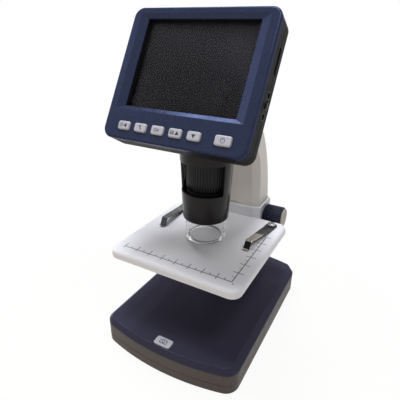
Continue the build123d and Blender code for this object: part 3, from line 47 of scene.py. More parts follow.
# Sizes below are in millimetres, as in the solids; makePiece turns them into metres.
mm = 0.001
tubeY = -10.0           # the optical axis stands at x = 0, y = tubeY
mergeWithin = 2e-7      # metres


# quads between the points of a grid; rows or columns may close on themselves
def gridQuads(rows, columns, closeRows=False, closeColumns=False):
    r = np.arange(rows if closeRows else rows - 1)[:, None]
    c = np.arange(columns if closeColumns else columns - 1)[None, :]
    nextRow, nextColumn = (r + 1) % rows, (c + 1) % columns
    corners = [r * columns + c, r * columns + nextColumn,
               nextRow * columns + nextColumn, nextRow * columns + c]
    return np.stack(corners, -1).reshape(-1, 4).tolist()


# several shapes as one: their points in a row, their faces counted on
def joined(shapes):
    points, faces, start = [], [], 0
    for shapePoints, shapeFaces in shapes:
        points.append(shapePoints)
        faces += [[index + start for index in face] for face in shapeFaces]
        start += len(shapePoints)
    return np.concatenate(points), faces


# corners cut back by `cut` and joined by parabolas: (1-u)^2 a + 2u(1-u) corner + u^2 b
def softened(corners, cut, steps=5, closed=False):
    p = np.asarray(corners, float)
    back, ahead = np.roll(p, 1, 0) - p, np.roll(p, -1, 0) - p
    reach = np.broadcast_to(np.asarray(cut, float), (len(p),))[:, None]
    longBack = np.linalg.norm(back, axis=1, keepdims=True)
    longAhead = np.linalg.norm(ahead, axis=1, keepdims=True)
    a = p + back / longBack * np.minimum(reach, longBack * 0.49)
    b = p + ahead / longAhead * np.minimum(reach, longAhead * 0.49)
    u = np.linspace(0, 1, steps)[None, :, None]
    curve = (1 - u) ** 2 * a[:, None] + 2 * u * (1 - u) * p[:, None] + u ** 2 * b[:, None]
    if closed:
        return curve.reshape(-1, p.shape[1])
    return np.concatenate([p[:1], curve[1:-1].reshape(-1, p.shape[1]), p[-1:]])


# a profile of (radius, height) turned about the height axis: x = r cos t, y = r sin t
def turned(profile, count, closed=False):
    profile = np.asarray(profile, float)
    t = np.arange(count) * 2 * pi / count
    r, h = profile[:, :1], profile[:, 1:]
    points = np.stack([r * np.cos(t), r * np.sin(t), h + 0 * t], -1)
    return points.reshape(-1, 3), gridQuads(len(profile), count, closed, True)


# a ribbed profile: each row's radius plus its share of half-round ribs,
# rib(t) = sqrt(rib^2 - (r (t - t0))^2) round each rib's centre line t0
def ribbed(profile, share, ribs, ribRadius, perRib=12, closed=True):
    profile = np.asarray(profile, float)
    count = ribs * perRib
    t = np.arange(count) * 2 * pi / count
    pitch = 2 * pi / ribs
    away = (t + pitch / 2) % pitch - pitch / 2
    radius = profile[:, :1]
    lift = np.sqrt(np.maximum(ribRadius ** 2 - (radius * away) ** 2, 0))
    r = radius + lift * np.asarray(share, float)[:, None]
    points = np.stack([r * np.cos(t), r * np.sin(t), profile[:, 1:] + 0 * t], -1)
    return points.reshape(-1, 3), gridQuads(len(profile), count, closed, True)


# an inked line: a bar carried along a flat path, mitred at its corners, from low to high
def stroke(path, width, low, high, closed=False):
    p = np.asarray(path, float)
    step = np.roll(p, -1, 0) - p
    if not closed:
        step[-1] = step[-2]
    step /= np.linalg.norm(step, axis=1, keepdims=True)
    before = np.roll(step, 1, 0)
    if not closed:
        before[0] = step[0]
    side = np.stack([-step[:, 1], step[:, 0]], -1)
    sideBefore = np.stack([-before[:, 1], before[:, 0]], -1)
    mitre = (side + sideBefore) / (1 + (side * sideBefore).sum(1, keepdims=True))
    left, right = p + mitre * width / 2, p - mitre * width / 2
    ring = np.stack([np.c_[left, np.full(len(p), low)], np.c_[left, np.full(len(p), high)],
                     np.c_[right, np.full(len(p), high)], np.c_[right, np.full(len(p), low)]], 1)
    faces = gridQuads(len(p), 4, closed, True)
    if not closed:
        last = 4 * (len(p) - 1)
        faces += [[0, 1, 2, 3], [last + 3, last + 2, last + 1, last]]
    return ring.reshape(-1, 3), faces


# a filled flat outline raised from low to high
def filled(outline, low, high):
    p = np.asarray(outline, float)
    n = len(p)
    points = np.concatenate([np.c_[p, np.full(n, low)], np.c_[p, np.full(n, high)]])
    rows = gridQuads(2, n, False, True)
    return points, rows + [list(range(n))[::-1], list(range(n, 2 * n))]


# points of an arc: centre + radius (cos t, sin t)
def arc(centre, radius, start, end, count=24):
    t = np.radians(np.linspace(start, end, count))
    return np.stack([centre[0] + radius * np.cos(t), centre[1] + radius * np.sin(t)], -1)


# from a piece's own axes to the model's: origin + x across + y up + z out
def placed(points, place):
    return np.asarray(place["origin"]) + points @ np.array([place["across"], place["up"], place["out"]])


# makes an object of a shape, its doubles merged and its faces turned outwards
def makePiece(name, shape, materials, body, faceMaterials=None, sharp=35.0):
    points, faces = shape
    mesh = bpy.data.meshes.new(name)
    mesh.from_pydata((points * mm).tolist(), [], faces)
    for material in materials:
        mesh.materials.append(material)
    if faceMaterials is not None:
        mesh.polygons.foreach_set("material_index", np.asarray(faceMaterials, np.int32))
    work = bmesh.new()
    work.from_mesh(mesh)
    bmesh.ops.remove_doubles(work, verts=work.verts, dist=mergeWithin)
    bmesh.ops.recalc_face_normals(work, faces=work.faces)
    work.to_mesh(mesh)
    work.free()
    mesh.polygons.foreach_set("use_smooth", np.ones(len(mesh.polygons), bool))
    mesh.set_sharp_from_angle(angle=radians(sharp))
    piece = bpy.data.objects.new(name, mesh)
    bpy.context.scene.collection.objects.link(piece)
    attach(piece, body)
    return piece


# gives a node its inputs, each a value or the socket that feeds it
def feed(tree, node, inputs):
    for key, value in inputs.items():
        if isinstance(value, bpy.types.NodeSocket):
            tree.links.new(value, node.inputs[key])
        else:
            node.inputs[key].default_value = value


# adds a shader node with its settings and inputs
def addNode(tree, kind, inputs=None, **settings):
    node = tree.nodes.new("ShaderNode" + kind)
    for key, value in settings.items():
        setattr(node, key, value)
    feed(tree, node, inputs or {})
    return node


# an empty node group, with the sockets that give its inputs and take its results
def newGroup(name, inputs, outputs):
    group = bpy.data.node_groups.new(name, "ShaderNodeTree")
    for label, kind, value in inputs:
        socket = group.interface.new_socket(label, in_out="INPUT", socket_type="NodeSocket" + kind)
        socket.default_value = value
    for label, kind in outputs:
        group.interface.new_socket(label, in_out="OUTPUT", socket_type="NodeSocket" + kind)
    return group, group.nodes.new("NodeGroupInput").outputs, group.nodes.new("NodeGroupOutput").inputs


# puts a group into a material and returns its outputs
def placeGroup(tree, group, inputs):
    node = tree.nodes.new("ShaderNodeGroup")
    node.node_tree = group
    feed(tree, node, inputs)
    return node.outputs


def math(tree, operation, a, b=0.0, clamp=False):
    return addNode(tree, "Math", {0: a, 1: b}, operation=operation, use_clamp=clamp).outputs[0]


# value from low..high to outLow..outHigh, eased at both ends
def remap(tree, value, low, high, outLow=0.0, outHigh=1.0):
    inputs = {"Value": value, "From Min": low, "From Max": high, "To Min": outLow, "To Max": outHigh}
    return addNode(tree, "MapRange", inputs, interpolation_type="SMOOTHSTEP").outputs["Result"]


def blendColour(tree, factor, a, b, way="MIX"):
    node = addNode(tree, "Mix", {0: factor, 6: a, 7: b}, data_type="RGBA", blend_type=way)
    return node.outputs[2]


print("making the shared effects")
# fine spark-eroded grain of a mould and softly rounded edges
mouldSkin, given, result = newGroup(
    "mouldSkin",
    [("Grain", "Float", 3000.0), ("Depth", "Float", 0.00002), ("Edge", "Float", 0.0004)],
    [("Normal", "Vector")])
where = addNode(mouldSkin, "TexCoord").outputs["Object"]
fine = addNode(mouldSkin, "TexNoise", {"Vector": where, "Scale": given["Grain"], "Detail": 2.0,
                                       "Roughness": 0.55}).outputs[0]
cells = addNode(mouldSkin, "TexVoronoi", {"Vector": where, "Scale": given["Grain"]},
                feature="SMOOTH_F1").outputs["Distance"]
height = math(mouldSkin, "MULTIPLY_ADD", fine, 0.6)
mouldSkin.links.new(cells, height.node.inputs[2])
rounded = addNode(mouldSkin, "Bevel", {"Radius": given["Edge"]}, samples=6).outputs["Normal"]
bump = addNode(mouldSkin, "Bump", {"Strength": 1.0, "Distance": given["Depth"], "Height": height,
                                   "Normal": rounded}).outputs["Normal"]
mouldSkin.links.new(bump, result["Normal"])

# where hands and cloths rub an edge, and where an edge highlight is painted (base_top's crease): 1 on
# convex edges, broken up by noise
edgeWearAndHighlight, given, result = newGroup(
    "edgeWearAndHighlight", [("Radius", "Float", 0.0006), ("Breakup", "Float", 300.0)], [("Mask", "Float")])
where = addNode(edgeWearAndHighlight, "TexCoord").outputs["Object"]
shape = addNode(edgeWearAndHighlight, "NewGeometry").outputs["Normal"]
rounded = addNode(edgeWearAndHighlight, "Bevel", {"Radius": given["Radius"]}, samples=6).outputs["Normal"]
same = addNode(edgeWearAndHighlight, "VectorMath", {0: shape, 1: rounded}, operation="DOT_PRODUCT").outputs["Value"]
turn = remap(edgeWearAndHighlight, math(edgeWearAndHighlight, "SUBTRACT", 1.0, same), 0.004, 0.12)
patches = addNode(edgeWearAndHighlight, "TexNoise", {"Vector": where, "Scale": given["Breakup"],
                                           "Detail": 4.0}).outputs[0]
edgeWearAndHighlight.links.new(math(edgeWearAndHighlight, "MULTIPLY", turn, remap(edgeWearAndHighlight, patches, 0.38, 0.62)),
                     result["Mask"])

# slow drift of tone from piece of resin to piece of resin, and handling marks
toneDrift, given, result = newGroup(
    "toneDrift",
    [("Colour", "Color", (0.5, 0.5, 0.5, 1)), ("Amount", "Float", 0.06), ("Scale", "Float", 25.0)],
    [("Colour", "Color"), ("Marks", "Float")])
where = addNode(toneDrift, "TexCoord").outputs["Object"]
slow = addNode(toneDrift, "TexNoise", {"Vector": where, "Scale": given["Scale"], "Detail": 3.0}).outputs[0]
swing = math(toneDrift, "MULTIPLY", math(toneDrift, "SUBTRACT", slow, 0.5), given["Amount"])
gain = math(toneDrift, "MULTIPLY_ADD", swing, 2.0)
gain.node.inputs[2].default_value = 1.0
toned = addNode(toneDrift, "VectorMath", {0: given["Colour"], "Scale": gain}, operation="SCALE").outputs[0]
marks = addNode(toneDrift, "TexNoise", {"Vector": where, "Scale": 90.0, "Detail": 6.0,
                                        "Roughness": 0.7}).outputs[0]
toneDrift.links.new(toned, result["Colour"])
toneDrift.links.new(marks, result["Marks"])

# thin dust on what faces up
settledDust, given, result = newGroup("settledDust", [("Amount", "Float", 0.1)], [("Mask", "Float")])
where = addNode(settledDust, "TexCoord").outputs["Object"]
upward = addNode(settledDust, "SeparateXYZ",
                 {0: addNode(settledDust, "NewGeometry").outputs["Normal"]}).outputs["Z"]
specks = addNode(settledDust, "TexNoise", {"Vector": where, "Scale": 700.0, "Detail": 5.0,
                                           "Roughness": 0.75}).outputs[0]
drifts = addNode(settledDust, "TexNoise", {"Vector": where, "Scale": 30.0, "Detail": 2.0}).outputs[0]
lying = math(settledDust, "MULTIPLY", remap(settledDust, upward, 0.5, 1.0),
             math(settledDust, "MULTIPLY", remap(settledDust, specks, 0.5, 0.75),
                  remap(settledDust, drifts, 0.35, 0.65)))
settledDust.links.new(math(settledDust, "MULTIPLY", lying, given["Amount"]), result["Mask"])

# drawn lines of rolled or turned metal, stretched by the given scales along x, y and z
drawnLines, given, result = newGroup(
    "drawnLines", [("Stretch", "Vector", (1.0, 1.0, 1.0)), ("Scale", "Float", 900.0)],
    [("Lines", "Float")])
where = addNode(drawnLines, "TexCoord").outputs["Object"]
stretched = addNode(drawnLines, "VectorMath", {0: where, 1: given["Stretch"]},
                    operation="MULTIPLY").outputs[0]
lines = addNode(drawnLines, "TexNoise", {"Vector": stretched, "Scale": given["Scale"],
                                         "Detail": 3.0, "Roughness": 0.6}).outputs[0]
drawnLines.links.new(lines, result["Lines"])


# a material with its Principled shader
def startMaterial(name):
    material = bpy.data.materials.new(name)
    material.use_nodes = True
    return material, material.node_tree, material.node_tree.nodes["Principled BSDF"]


wear = {
    # reach and polish serve rubbed edges and base_top's painted edge highlight alike
    "reach": 1.6,           # of a rubbed edge, in radii of the edge
    "polish": 0.10,         # taken off the roughness where it is rubbed
    "dustColour": (0.42, 0.41, 0.39), "dustDull": 0.4,
    "plasticBreakup": 300.0, "metalBreakup": 500.0,     # patches per metre
    "metalRub": 0.6, "metalShine": 1.35,
}


# moulded plastic: grain, rounded edges, drifting tone, rubbed edges (on base_top a painted highlight along
# the crease) and a little dust
def mouldedPlastic(name, look):
    material, tree, shader = startMaterial(name)
    skin = placeGroup(tree, mouldSkin, {"Grain": look["grain"], "Depth": look["depth"],
                                        "Edge": look["edge"]})
    drift = placeGroup(tree, toneDrift, {"Colour": (*look["colour"], 1), "Amount": look["drift"],
                                         "Scale": look.get("driftScale", 25.0)})
    wearAndHighlight = placeGroup(tree, edgeWearAndHighlight, {"Radius": look["edge"] * wear["reach"],
                                        "Breakup": wear["plasticBreakup"]})
    dust = placeGroup(tree, settledDust, {"Amount": look["dust"]})
    wornAndLitTone = blendColour(tree, math(tree, "MULTIPLY", wearAndHighlight["Mask"], look["wearAndHighlight"]), drift["Colour"],
                       (*look["wornAndLitEdge"], 1))
    colour = blendColour(tree, dust["Mask"], wornAndLitTone, (*wear["dustColour"], 1))
    gloss = remap(tree, drift["Marks"], 0.3, 0.7, look["roughness"] - look["marks"],
                  look["roughness"] + look["marks"])
    polished = math(tree, "SUBTRACT", gloss, math(tree, "MULTIPLY", wearAndHighlight["Mask"], wear["polish"]))
    dulled = math(tree, "ADD", polished, math(tree, "MULTIPLY", dust["Mask"], wear["dustDull"]), clamp=True)
    feed(tree, shader, {
        "Base Color": colour, "Roughness": dulled, "Normal": skin["Normal"],
        "Specular IOR Level": look["specular"], "Metallic": look.get("metallic", 0.0),
        "Specular Tint": (*look.get("edgeTint", (1.0, 1.0, 1.0)), 1)})
    return material


# metal: drawn lines in the gloss and relief, smudges, brighter rubbed edges
def workedMetal(name, look):
    material, tree, shader = startMaterial(name)
    skin = placeGroup(tree, mouldSkin, {"Grain": look["grain"], "Depth": look["depth"],
                                        "Edge": look["edge"]})
    lines = placeGroup(tree, drawnLines, {"Stretch": look["stretch"], "Scale": look["lines"]})
    drift = placeGroup(tree, toneDrift, {"Colour": (*look["colour"], 1), "Amount": look["drift"],
                                         "Scale": 40.0})
    wearAndHighlight = placeGroup(tree, edgeWearAndHighlight, {"Radius": look["edge"] * wear["reach"],
                                        "Breakup": wear["metalBreakup"]})
    bright = tuple(min(1.0, value * wear["metalShine"]) for value in look["colour"])
    wornAndLitEdge = math(tree, "MULTIPLY", wearAndHighlight["Mask"], wear["metalRub"])
    colour = blendColour(tree, wornAndLitEdge, drift["Colour"], (*bright, 1))
    smudged = remap(tree, drift["Marks"], 0.35, 0.7, look["roughness"] * 0.8, look["roughness"] * 1.5)
    gloss = math(tree, "ADD", smudged, remap(tree, lines["Lines"], 0.3, 0.7, -0.03, 0.05), clamp=True)
    relief = addNode(tree, "Bump", {"Strength": 0.5, "Distance": look["lineDepth"],
                                    "Height": lines["Lines"], "Normal": skin["Normal"]}).outputs["Normal"]
    feed(tree, shader, {"Base Color": colour, "Roughness": gloss, "Normal": relief, "Metallic": 1.0})
    return material


# chrome of the clips: its colour goes from light at the tip to the root colour towards the pivot, a painted
# dark reflection
def paintedReflectionSteel(name, look):
    material = workedMetal(name, look)
    tree = material.node_tree
    shader = tree.nodes["Principled BSDF"]
    bare = shader.inputs["Base Color"].links[0].from_socket
    along = addNode(tree, "SeparateXYZ", {0: addNode(tree, "TexCoord").outputs["Object"]}).outputs["Y"]
    # share is 0 at the tip and 1 towards the pivot, where the root colour paints a dark reflection
    share = remap(tree, along, look["light"], look["dark"])
    tree.links.new(blendColour(tree, share, bare, (*look["root"], 1)), shader.inputs["Base Color"])
    return material


clearLook = {"waves": 60.0, "edge": 0.0002, "drift": 0.01, "driftScale": 40.0, "smudge": 0.05}


# clear plastic or glass: slow waves in its skin and faint smudges
def clearPlastic(name, look):
    material, tree, shader = startMaterial(name)
    skin = placeGroup(tree, mouldSkin, {"Grain": clearLook["waves"], "Depth": look["depth"],
                                        "Edge": clearLook["edge"]})
    drift = placeGroup(tree, toneDrift, {"Colour": (*look["colour"], 1), "Amount": clearLook["drift"],
                                         "Scale": clearLook["driftScale"]})
    smudged = remap(tree, drift["Marks"], 0.45, 0.75, look["roughness"],
                    look["roughness"] + clearLook["smudge"])
    feed(tree, shader, {"Base Color": drift["Colour"], "Roughness": smudged, "Normal": skin["Normal"],
                        "Transmission Weight": 1.0, "IOR": look["ior"]})
    return material


print("making the materials")
shellLook = {
    "grain": 2600.0,        # grains per metre
    "depth": 0.000012,      # of the grain, in metres
    "edge": 0.0004,         # radius of the softened edges, in metres
    "drift": 0.05, "marks": 0.05, "dust": 0.03, "wearAndHighlight": 0.15,
    "specular": 0.28,
}
looks = {
    "navy_shell": {**shellLook, "colour": (0.028, 0.036, 0.072), "roughness": 0.27, "wearAndHighlight": 0.03,
                   "wornAndLitEdge": (0.08, 0.09, 0.16), "metallic": 0.45, "specular": 0.04, "grain": 2000.0,
                   "depth": 0.000008, "drift": 0.16, "driftScale": 700.0, "edgeTint": (0.30, 0.34, 0.45)},
    "graphite_shell": {**shellLook, "colour": (0.014, 0.013, 0.0135), "roughness": 0.45, "wearAndHighlight": 0.05,
                       "wornAndLitEdge": (0.05, 0.05, 0.055), "specular": 0.03},
    "grey_wall": {**shellLook, "colour": (0.110, 0.094, 0.089), "roughness": 0.42, "wearAndHighlight": 0.05,
                  "wornAndLitEdge": (0.16, 0.14, 0.12), "specular": 0.08},
    "ivory_shell": {**shellLook, "colour": (0.80, 0.765, 0.71), "roughness": 0.36, "drift": 0.02,
                    "wornAndLitEdge": (0.84, 0.82, 0.77)},
    "white_plate": {**shellLook, "colour": (0.81, 0.81, 0.84), "roughness": 0.32, "drift": 0.01,
                    "wornAndLitEdge": (0.86, 0.86, 0.88), "dust": 0.01, "edge": 0.0006, "marks": 0.02},
    "silver_key": {**shellLook, "colour": (0.47, 0.47, 0.52), "roughness": 0.34, "drift": 0.03, "wearAndHighlight": 0.5,
                   "wornAndLitEdge": (0.64, 0.65, 0.70), "grain": 5200.0, "depth": 0.000006, "edge": 0.0003},
    "black_tube": {**shellLook, "colour": (0.0115, 0.0090, 0.0085), "roughness": 0.22, "depth": 0.000003,
                   "wornAndLitEdge": (0.05, 0.05, 0.05), "marks": 0.03, "specular": 0.2},
    "ribbed_black": {**shellLook, "colour": (0.0060, 0.0056, 0.0058), "roughness": 0.30,
                     "wornAndLitEdge": (0.03, 0.03, 0.03), "edge": 0.0001, "specular": 0.22},
    "black_seal": {**shellLook, "colour": (0.006, 0.006, 0.007), "roughness": 0.7,
                   "wornAndLitEdge": (0.03, 0.03, 0.03), "grain": 6000.0, "edge": 0.0002, "specular": 0.12},
    "navy_knob": {**shellLook, "colour": (0.013, 0.016, 0.034), "roughness": 0.38,
                  "wornAndLitEdge": (0.05, 0.06, 0.10), "edge": 0.0002, "specular": 0.12},
    "beige_cap": {**shellLook, "colour": (0.34, 0.30, 0.25), "roughness": 0.38,
                  "wornAndLitEdge": (0.50, 0.46, 0.40)},
    "foot_rubber": {**shellLook, "colour": (0.016, 0.016, 0.016), "roughness": 0.85,
                    "wornAndLitEdge": (0.06, 0.06, 0.06), "depth": 0.00003},
    "cell_pack": {**shellLook, "colour": (0.34, 0.36, 0.40), "roughness": 0.35,
                  "wornAndLitEdge": (0.5, 0.5, 0.52), "depth": 0.00002, "grain": 400.0},
    "lamp_white": {**shellLook, "colour": (0.86, 0.82, 0.60), "roughness": 0.18,
                   "wornAndLitEdge": (0.9, 0.88, 0.8), "depth": 0.000002, "specular": 0.5},
    # base_top: its edges mix half-way to a light blue, a painted highlight along the front crease
    "base_top": {**shellLook, "colour": (0.042, 0.040, 0.066), "roughness": 0.34, "wearAndHighlight": 0.5,
                 "wornAndLitEdge": (0.16, 0.17, 0.24), "metallic": 0.12, "specular": 0.05,
                 "edgeTint": (0.30, 0.32, 0.40)},
}
metals = {
    "sprung_chrome": {"colour": (0.42, 0.42, 0.42), "roughness": 0.12, "grain": 4000.0,
                      "depth": 0.0000015, "edge": 0.00012, "stretch": (1.0, 0.06, 1.0),
                      "lines": 2500.0, "lineDepth": 0.000002, "drift": 0.04},
    "zinc_steel": {"colour": (0.46, 0.46, 0.47), "roughness": 0.30, "grain": 3000.0,
                   "depth": 0.000006, "edge": 0.0002, "stretch": (1.0, 1.0, 0.1),
                   "lines": 1500.0, "lineDepth": 0.000006, "drift": 0.10},
    "dark_alloy": {"colour": (0.10, 0.10, 0.11), "roughness": 0.38, "grain": 2400.0,
                   "depth": 0.000014, "edge": 0.0002, "stretch": (1.0, 0.1, 1.0),
                   "lines": 1800.0, "lineDepth": 0.000006, "drift": 0.10},
    "bush_brass": {"colour": (0.62, 0.43, 0.17), "roughness": 0.24, "grain": 2600.0,
                   "depth": 0.000005, "edge": 0.0002, "stretch": (0.1, 1.0, 1.0),
                   "lines": 2200.0, "lineDepth": 0.000005, "drift": 0.10},
}
clears = {
    "clear_cap": {"colour": (0.97, 0.97, 0.98), "roughness": 0.02, "depth": 0.000004, "ior": 1.13},
    "lens_glass": {"colour": (0.96, 0.98, 0.99), "roughness": 0.0, "depth": 0.0, "ior": 1.52},
    "screen_glass": {"colour": (0.97, 0.97, 0.97), "roughness": 0.02, "depth": 0.000001, "ior": 1.14},
    "cap_rim": {"colour": (0.12, 0.12, 0.14), "roughness": 0.05, "depth": 0.000004, "ior": 1.20},
}
materials = {name: mouldedPlastic(name, look) for name, look in looks.items()}
materials.update({name: workedMetal(name, look) for name, look in metals.items()})
materials.update({name: clearPlastic(name, look) for name, look in clears.items()})


# a fibreglass board: solder mask over copper tracks, tinned pads and a faint weave
def circuitBoard(name, look):
    material, tree, shader = startMaterial(name)
    where = addNode(tree, "TexCoord").outputs["Object"]
    cellsOf = {"Vector": where, "Scale": look["tracks"], "Randomness": 0.55}
    near = addNode(tree, "TexVoronoi", cellsOf, distance="MANHATTAN", feature="F1").outputs["Distance"]
    rings = math(tree, "PINGPONG", math(tree, "MULTIPLY", near, 7.0), 1.0)
    track = remap(tree, rings, 0.52, 0.60)
    pad = math(tree, "SUBTRACT", 1.0, remap(tree, near, 0.07, 0.10))
    weave = addNode(tree, "TexWave", {"Vector": where, "Scale": look["weave"],
                                      "Distortion": 0.4}).outputs[1]
    mask = blendColour(tree, track, (*look["mask"], 1), (*look["copper"], 1))
    colour = blendColour(tree, pad, mask, (*look["pad"], 1))
    relief = math(tree, "ADD", math(tree, "ADD", track, pad), math(tree, "MULTIPLY", weave, 0.25))
    bump = addNode(tree, "Bump", {"Distance": look["relief"], "Height": relief}).outputs["Normal"]
    gloss = remap(tree, pad, 0.0, 1.0, look["maskRoughness"], look["padRoughness"])
    feed(tree, shader, {"Base Color": colour, "Roughness": gloss, "Metallic": pad, "Normal": bump})
    return material


materials["green_board"] = circuitBoard("green_board", {
    "tracks": 260.0, "weave": 900.0, "relief": 0.00003, "maskRoughness": 0.35, "padRoughness": 0.22,
    "mask": (0.012, 0.085, 0.030), "copper": (0.025, 0.15, 0.055), "pad": (0.60, 0.58, 0.52)})


# the switched-off panel: near-black film over a fine grid of pixels, with a slight cloud
def darkPanel(name, look):
    material, tree, shader = startMaterial(name)
    where = addNode(tree, "TexCoord").outputs["Object"]
    leant = addNode(tree, "Mapping", {"Vector": where,
                                      "Rotation": (radians(look["lean"]), 0.0, 0.0)}).outputs[0]
    grid = addNode(tree, "TexBrick", {"Vector": leant, "Color1": (*look["pixel"], 1),
                                      "Color2": (*look["pixelTwo"], 1), "Mortar": (*look["gap"], 1),
                                      "Scale": look["pixels"], "Mortar Size": 0.06,
                                      "Brick Width": 1.0, "Row Height": 1.0}, offset=0.0).outputs[0]
    cloud = addNode(tree, "TexNoise", {"Vector": where, "Scale": look["clouds"], "Detail": 1.0}).outputs[0]
    colour = blendColour(tree, remap(tree, cloud, 0.40, 0.66, 0.0, 0.8), grid, (*look["cloud"], 1))
    gloss = remap(tree, cloud, 0.3, 0.7, look["roughness"], look["roughness"] + 0.08)
    feed(tree, shader, {"Base Color": colour, "Roughness": gloss, "Specular IOR Level": look["specular"]})
    return material


panelMaterial = darkPanel("darkPanel", {
    "pixel": (0.0130, 0.0125, 0.0165), "pixelTwo": (0.0132, 0.0127, 0.0167),
    "gap": (0.0122, 0.0118, 0.0156), "cloud": (0.028, 0.028, 0.036),
    "pixels": 4500.0, "clouds": 14.0,       # per metre
    "lean": -60.0, "roughness": 0.40, "specular": 0.12})


# printed ink: flat colour with a slightly uneven film
def printedInk(name, colour, roughness):
    material, tree, shader = startMaterial(name)
    drift = placeGroup(tree, toneDrift, {"Colour": (*colour, 1), "Amount": 0.15, "Scale": 400.0})
    gloss = remap(tree, drift["Marks"], 0.3, 0.7, roughness - 0.06, roughness + 0.06)
    feed(tree, shader, {"Base Color": drift["Colour"], "Roughness": gloss})
    return material


# light and dark: world y, in metres, where the clips' painted dark reflection starts and where it is full
bladeLook = {**metals["sprung_chrome"], "roughness": 0.30, "light": 0.003, "dark": 0.007}
# right clip: lighter at the tip, with a painted dark reflection towards the pivot; left clip: the same
# chrome painted dark all over, a painted dark reflection
litBlade = paintedReflectionSteel("litBlade", {**bladeLook, "colour": (0.42, 0.40, 0.36),
                                            "root": (0.040, 0.042, 0.045)})
shadedBlade = paintedReflectionSteel("shadedBlade", {**bladeLook, "colour": (0.042, 0.045, 0.053),
                                        "root": (0.036, 0.038, 0.045)})
inkBlack = printedInk("inkBlack", (0.004, 0.004, 0.005), 0.6)
inkGrey = printedInk("inkGrey", (0.085, 0.085, 0.10), 0.6)

slotOf = {part["node"]: part["material_slot"] for part in frame["record"]["subparts"]}
for nodeName, node in nodes.items():
    node.data.materials.clear()
    node.data.materials.append(materials[slotOf[nodeName]])
nodes["lcd_panel"].data.materials[0] = panelMaterial
nodes["base_top_cover"].data.materials[0] = materials["base_top"]
nodes["inner_tube"].data.materials[0] = materials["black_seal"]


print("printing the marks")
leanSin, leanCos = 0.5, 0.8660254       # the display leans back by 30 degrees
faceTop = {"origin": (0.0, -33.0, 193.85), "across": (1.0, 0.0, 0.0),
           "up": (0.0, leanSin, leanCos), "out": (0.0, -leanCos, leanSin)}
keyMarks = {
    "row": -38.8,       # of the keys, down the face from the screen's centre
    "top": 2.8,         # of the keys, out of the face
    "sunk": 0.02,       # how far the ink reaches into the key
    "proud": 0.03,      # and out of it
    "line": 0.42, "fine": 0.32,     # widths of the lines
    "scale": 0.92,      # of the marks as drawn below
}


# corners of an even triangle, the first at the angle `turn`
def triangle(centre, size, turn):
    return arc(centre, size, turn, turn + 240, 3)


# prints one key's mark at x along the row
def inkOn(name, shapes, x, body):
    points, faces = joined(shapes)
    points = points * (keyMarks["scale"], keyMarks["scale"], 1) + (x, keyMarks["row"], keyMarks["top"])
    makePiece(name, (placed(points, faceTop), faces), [inkBlack], body, sharp=20.0)


low, high = -keyMarks["sunk"], keyMarks["proud"]
line, fineLine = keyMarks["line"], keyMarks["fine"]
inkOn("mark_back", [
    filled(triangle((1.45, 0), 1.6, 180), low, high),
    stroke([(-2.9, 0.95), (-1.0, 0.95), (-1.0, -0.75), (-2.9, -0.75)], fineLine, low, high),
    stroke([(-2.9, 0.1), (-1.7, 0.1)], fineLine, low, high),
], -30.4, "back_key")
inkOn("mark_light", [
    filled([(-0.2, 1.5), (0.5, 1.35), (0.35, 0.25), (-0.55, 0.35)], low, high),
    filled([(-0.3, 0.3), (0.3, 0.5), (1.1, -1.2), (0.55, -1.45)], low, high),
    stroke([(-1.1, 1.15), (-0.45, 0.75)], line, low, high),
], -19.0, "light_key")
inkOn("mark_ok", [
    stroke(arc((-1.15, 0), 0.85, 0, 345, 24), fineLine, low, high, closed=True),
    stroke([(0.3, 0.9), (0.3, -0.9)], fineLine, low, high),
    stroke([(1.65, 0.9), (0.45, -0.05)], fineLine, low, high),
    stroke([(0.75, 0.2), (1.75, -0.9)], fineLine, low, high),
], -7.6, "ok_key")
inkOn("mark_up", [
    filled(triangle((1.55, -0.25), 1.6, 90), low, high),
    stroke([(-2.9, 0.95), (-0.7, 0.95), (-0.7, -0.85), (-2.9, -0.85)], fineLine, low, high, closed=True),
    stroke([(-2.8, -0.6), (-2.1, 0.25), (-1.6, -0.3), (-1.25, 0.1), (-0.8, -0.6)], fineLine, low, high),
    filled(arc((-1.2, 0.55), 0.2, 0, 330, 12), low, high),
], 3.8, "up_key")
inkOn("mark_down", [filled(triangle((0, 0.15), 1.55, 270), low, high)], 15.2, "down_key")
inkOn("mark_power", [
    stroke(arc((0, 0), 1.35, 0, 345, 32), fineLine, low, high, closed=True),
    stroke([(0, 1.0), (0, 0.0)], fineLine, low, high),
], 32.0, "power_key")

cameraMark = {"centre": (0.0, -66.3), "top": 22.6}
bodyLine = softened([(-2.5, -1.6), (2.5, -1.6), (2.5, 1.25), (1.2, 1.25), (0.75, 1.85),
                     (-0.75, 1.85), (-1.2, 1.25), (-2.5, 1.25)], 0.35, 4, closed=True)
cameraPoints, cameraFaces = joined([
    stroke(bodyLine, line, low, high, closed=True),
    stroke(arc((0, -0.15), 0.95, 0, 348, 30), line, low, high, closed=True),
    filled(arc((1.75, 0.65), 0.2, 0, 330, 12), low, high),
])
cameraPoints = cameraPoints + np.array([*cameraMark["centre"], cameraMark["top"]])
makePiece("mark_camera", (cameraPoints, cameraFaces), [inkBlack], "snapshot_key", sharp=20.0)

# printed rule on the stage, its places in plan
rule = {
    "top": 76.5, "front": -51.15, "side": 40.0, "length": 80.0, "rearLength": 60.0,
    "pitch": 10.0, "line": 0.6, "tick": 0.5,
    "inward": 4.0, "outward": 2.1, "short": 2.0, "sideReach": 3.6, "sideShort": 2.0,
    "shortTick": 0.8,       # of a long tick's width
    "sunk": 0.02, "proud": 0.025, "tickProud": 0.004,
    "dot": (1.4, -1.6), "dotRadius": 0.5,       # from the rule's corner
}
ruleLow, ruleHigh = rule["top"] - rule["sunk"], rule["top"] + rule["proud"]
ruleShapes = [
    stroke([(-rule["side"], rule["front"]), (rule["side"], rule["front"]),
            (rule["side"], rule["front"] + rule["rearLength"])], rule["line"], ruleLow, ruleHigh),
]


# a tick across the rule, from its low to its high end
def tick(a, b, width):
    ruleShapes.append(stroke([a, b], width, ruleLow, ruleHigh + rule["tickProud"]))


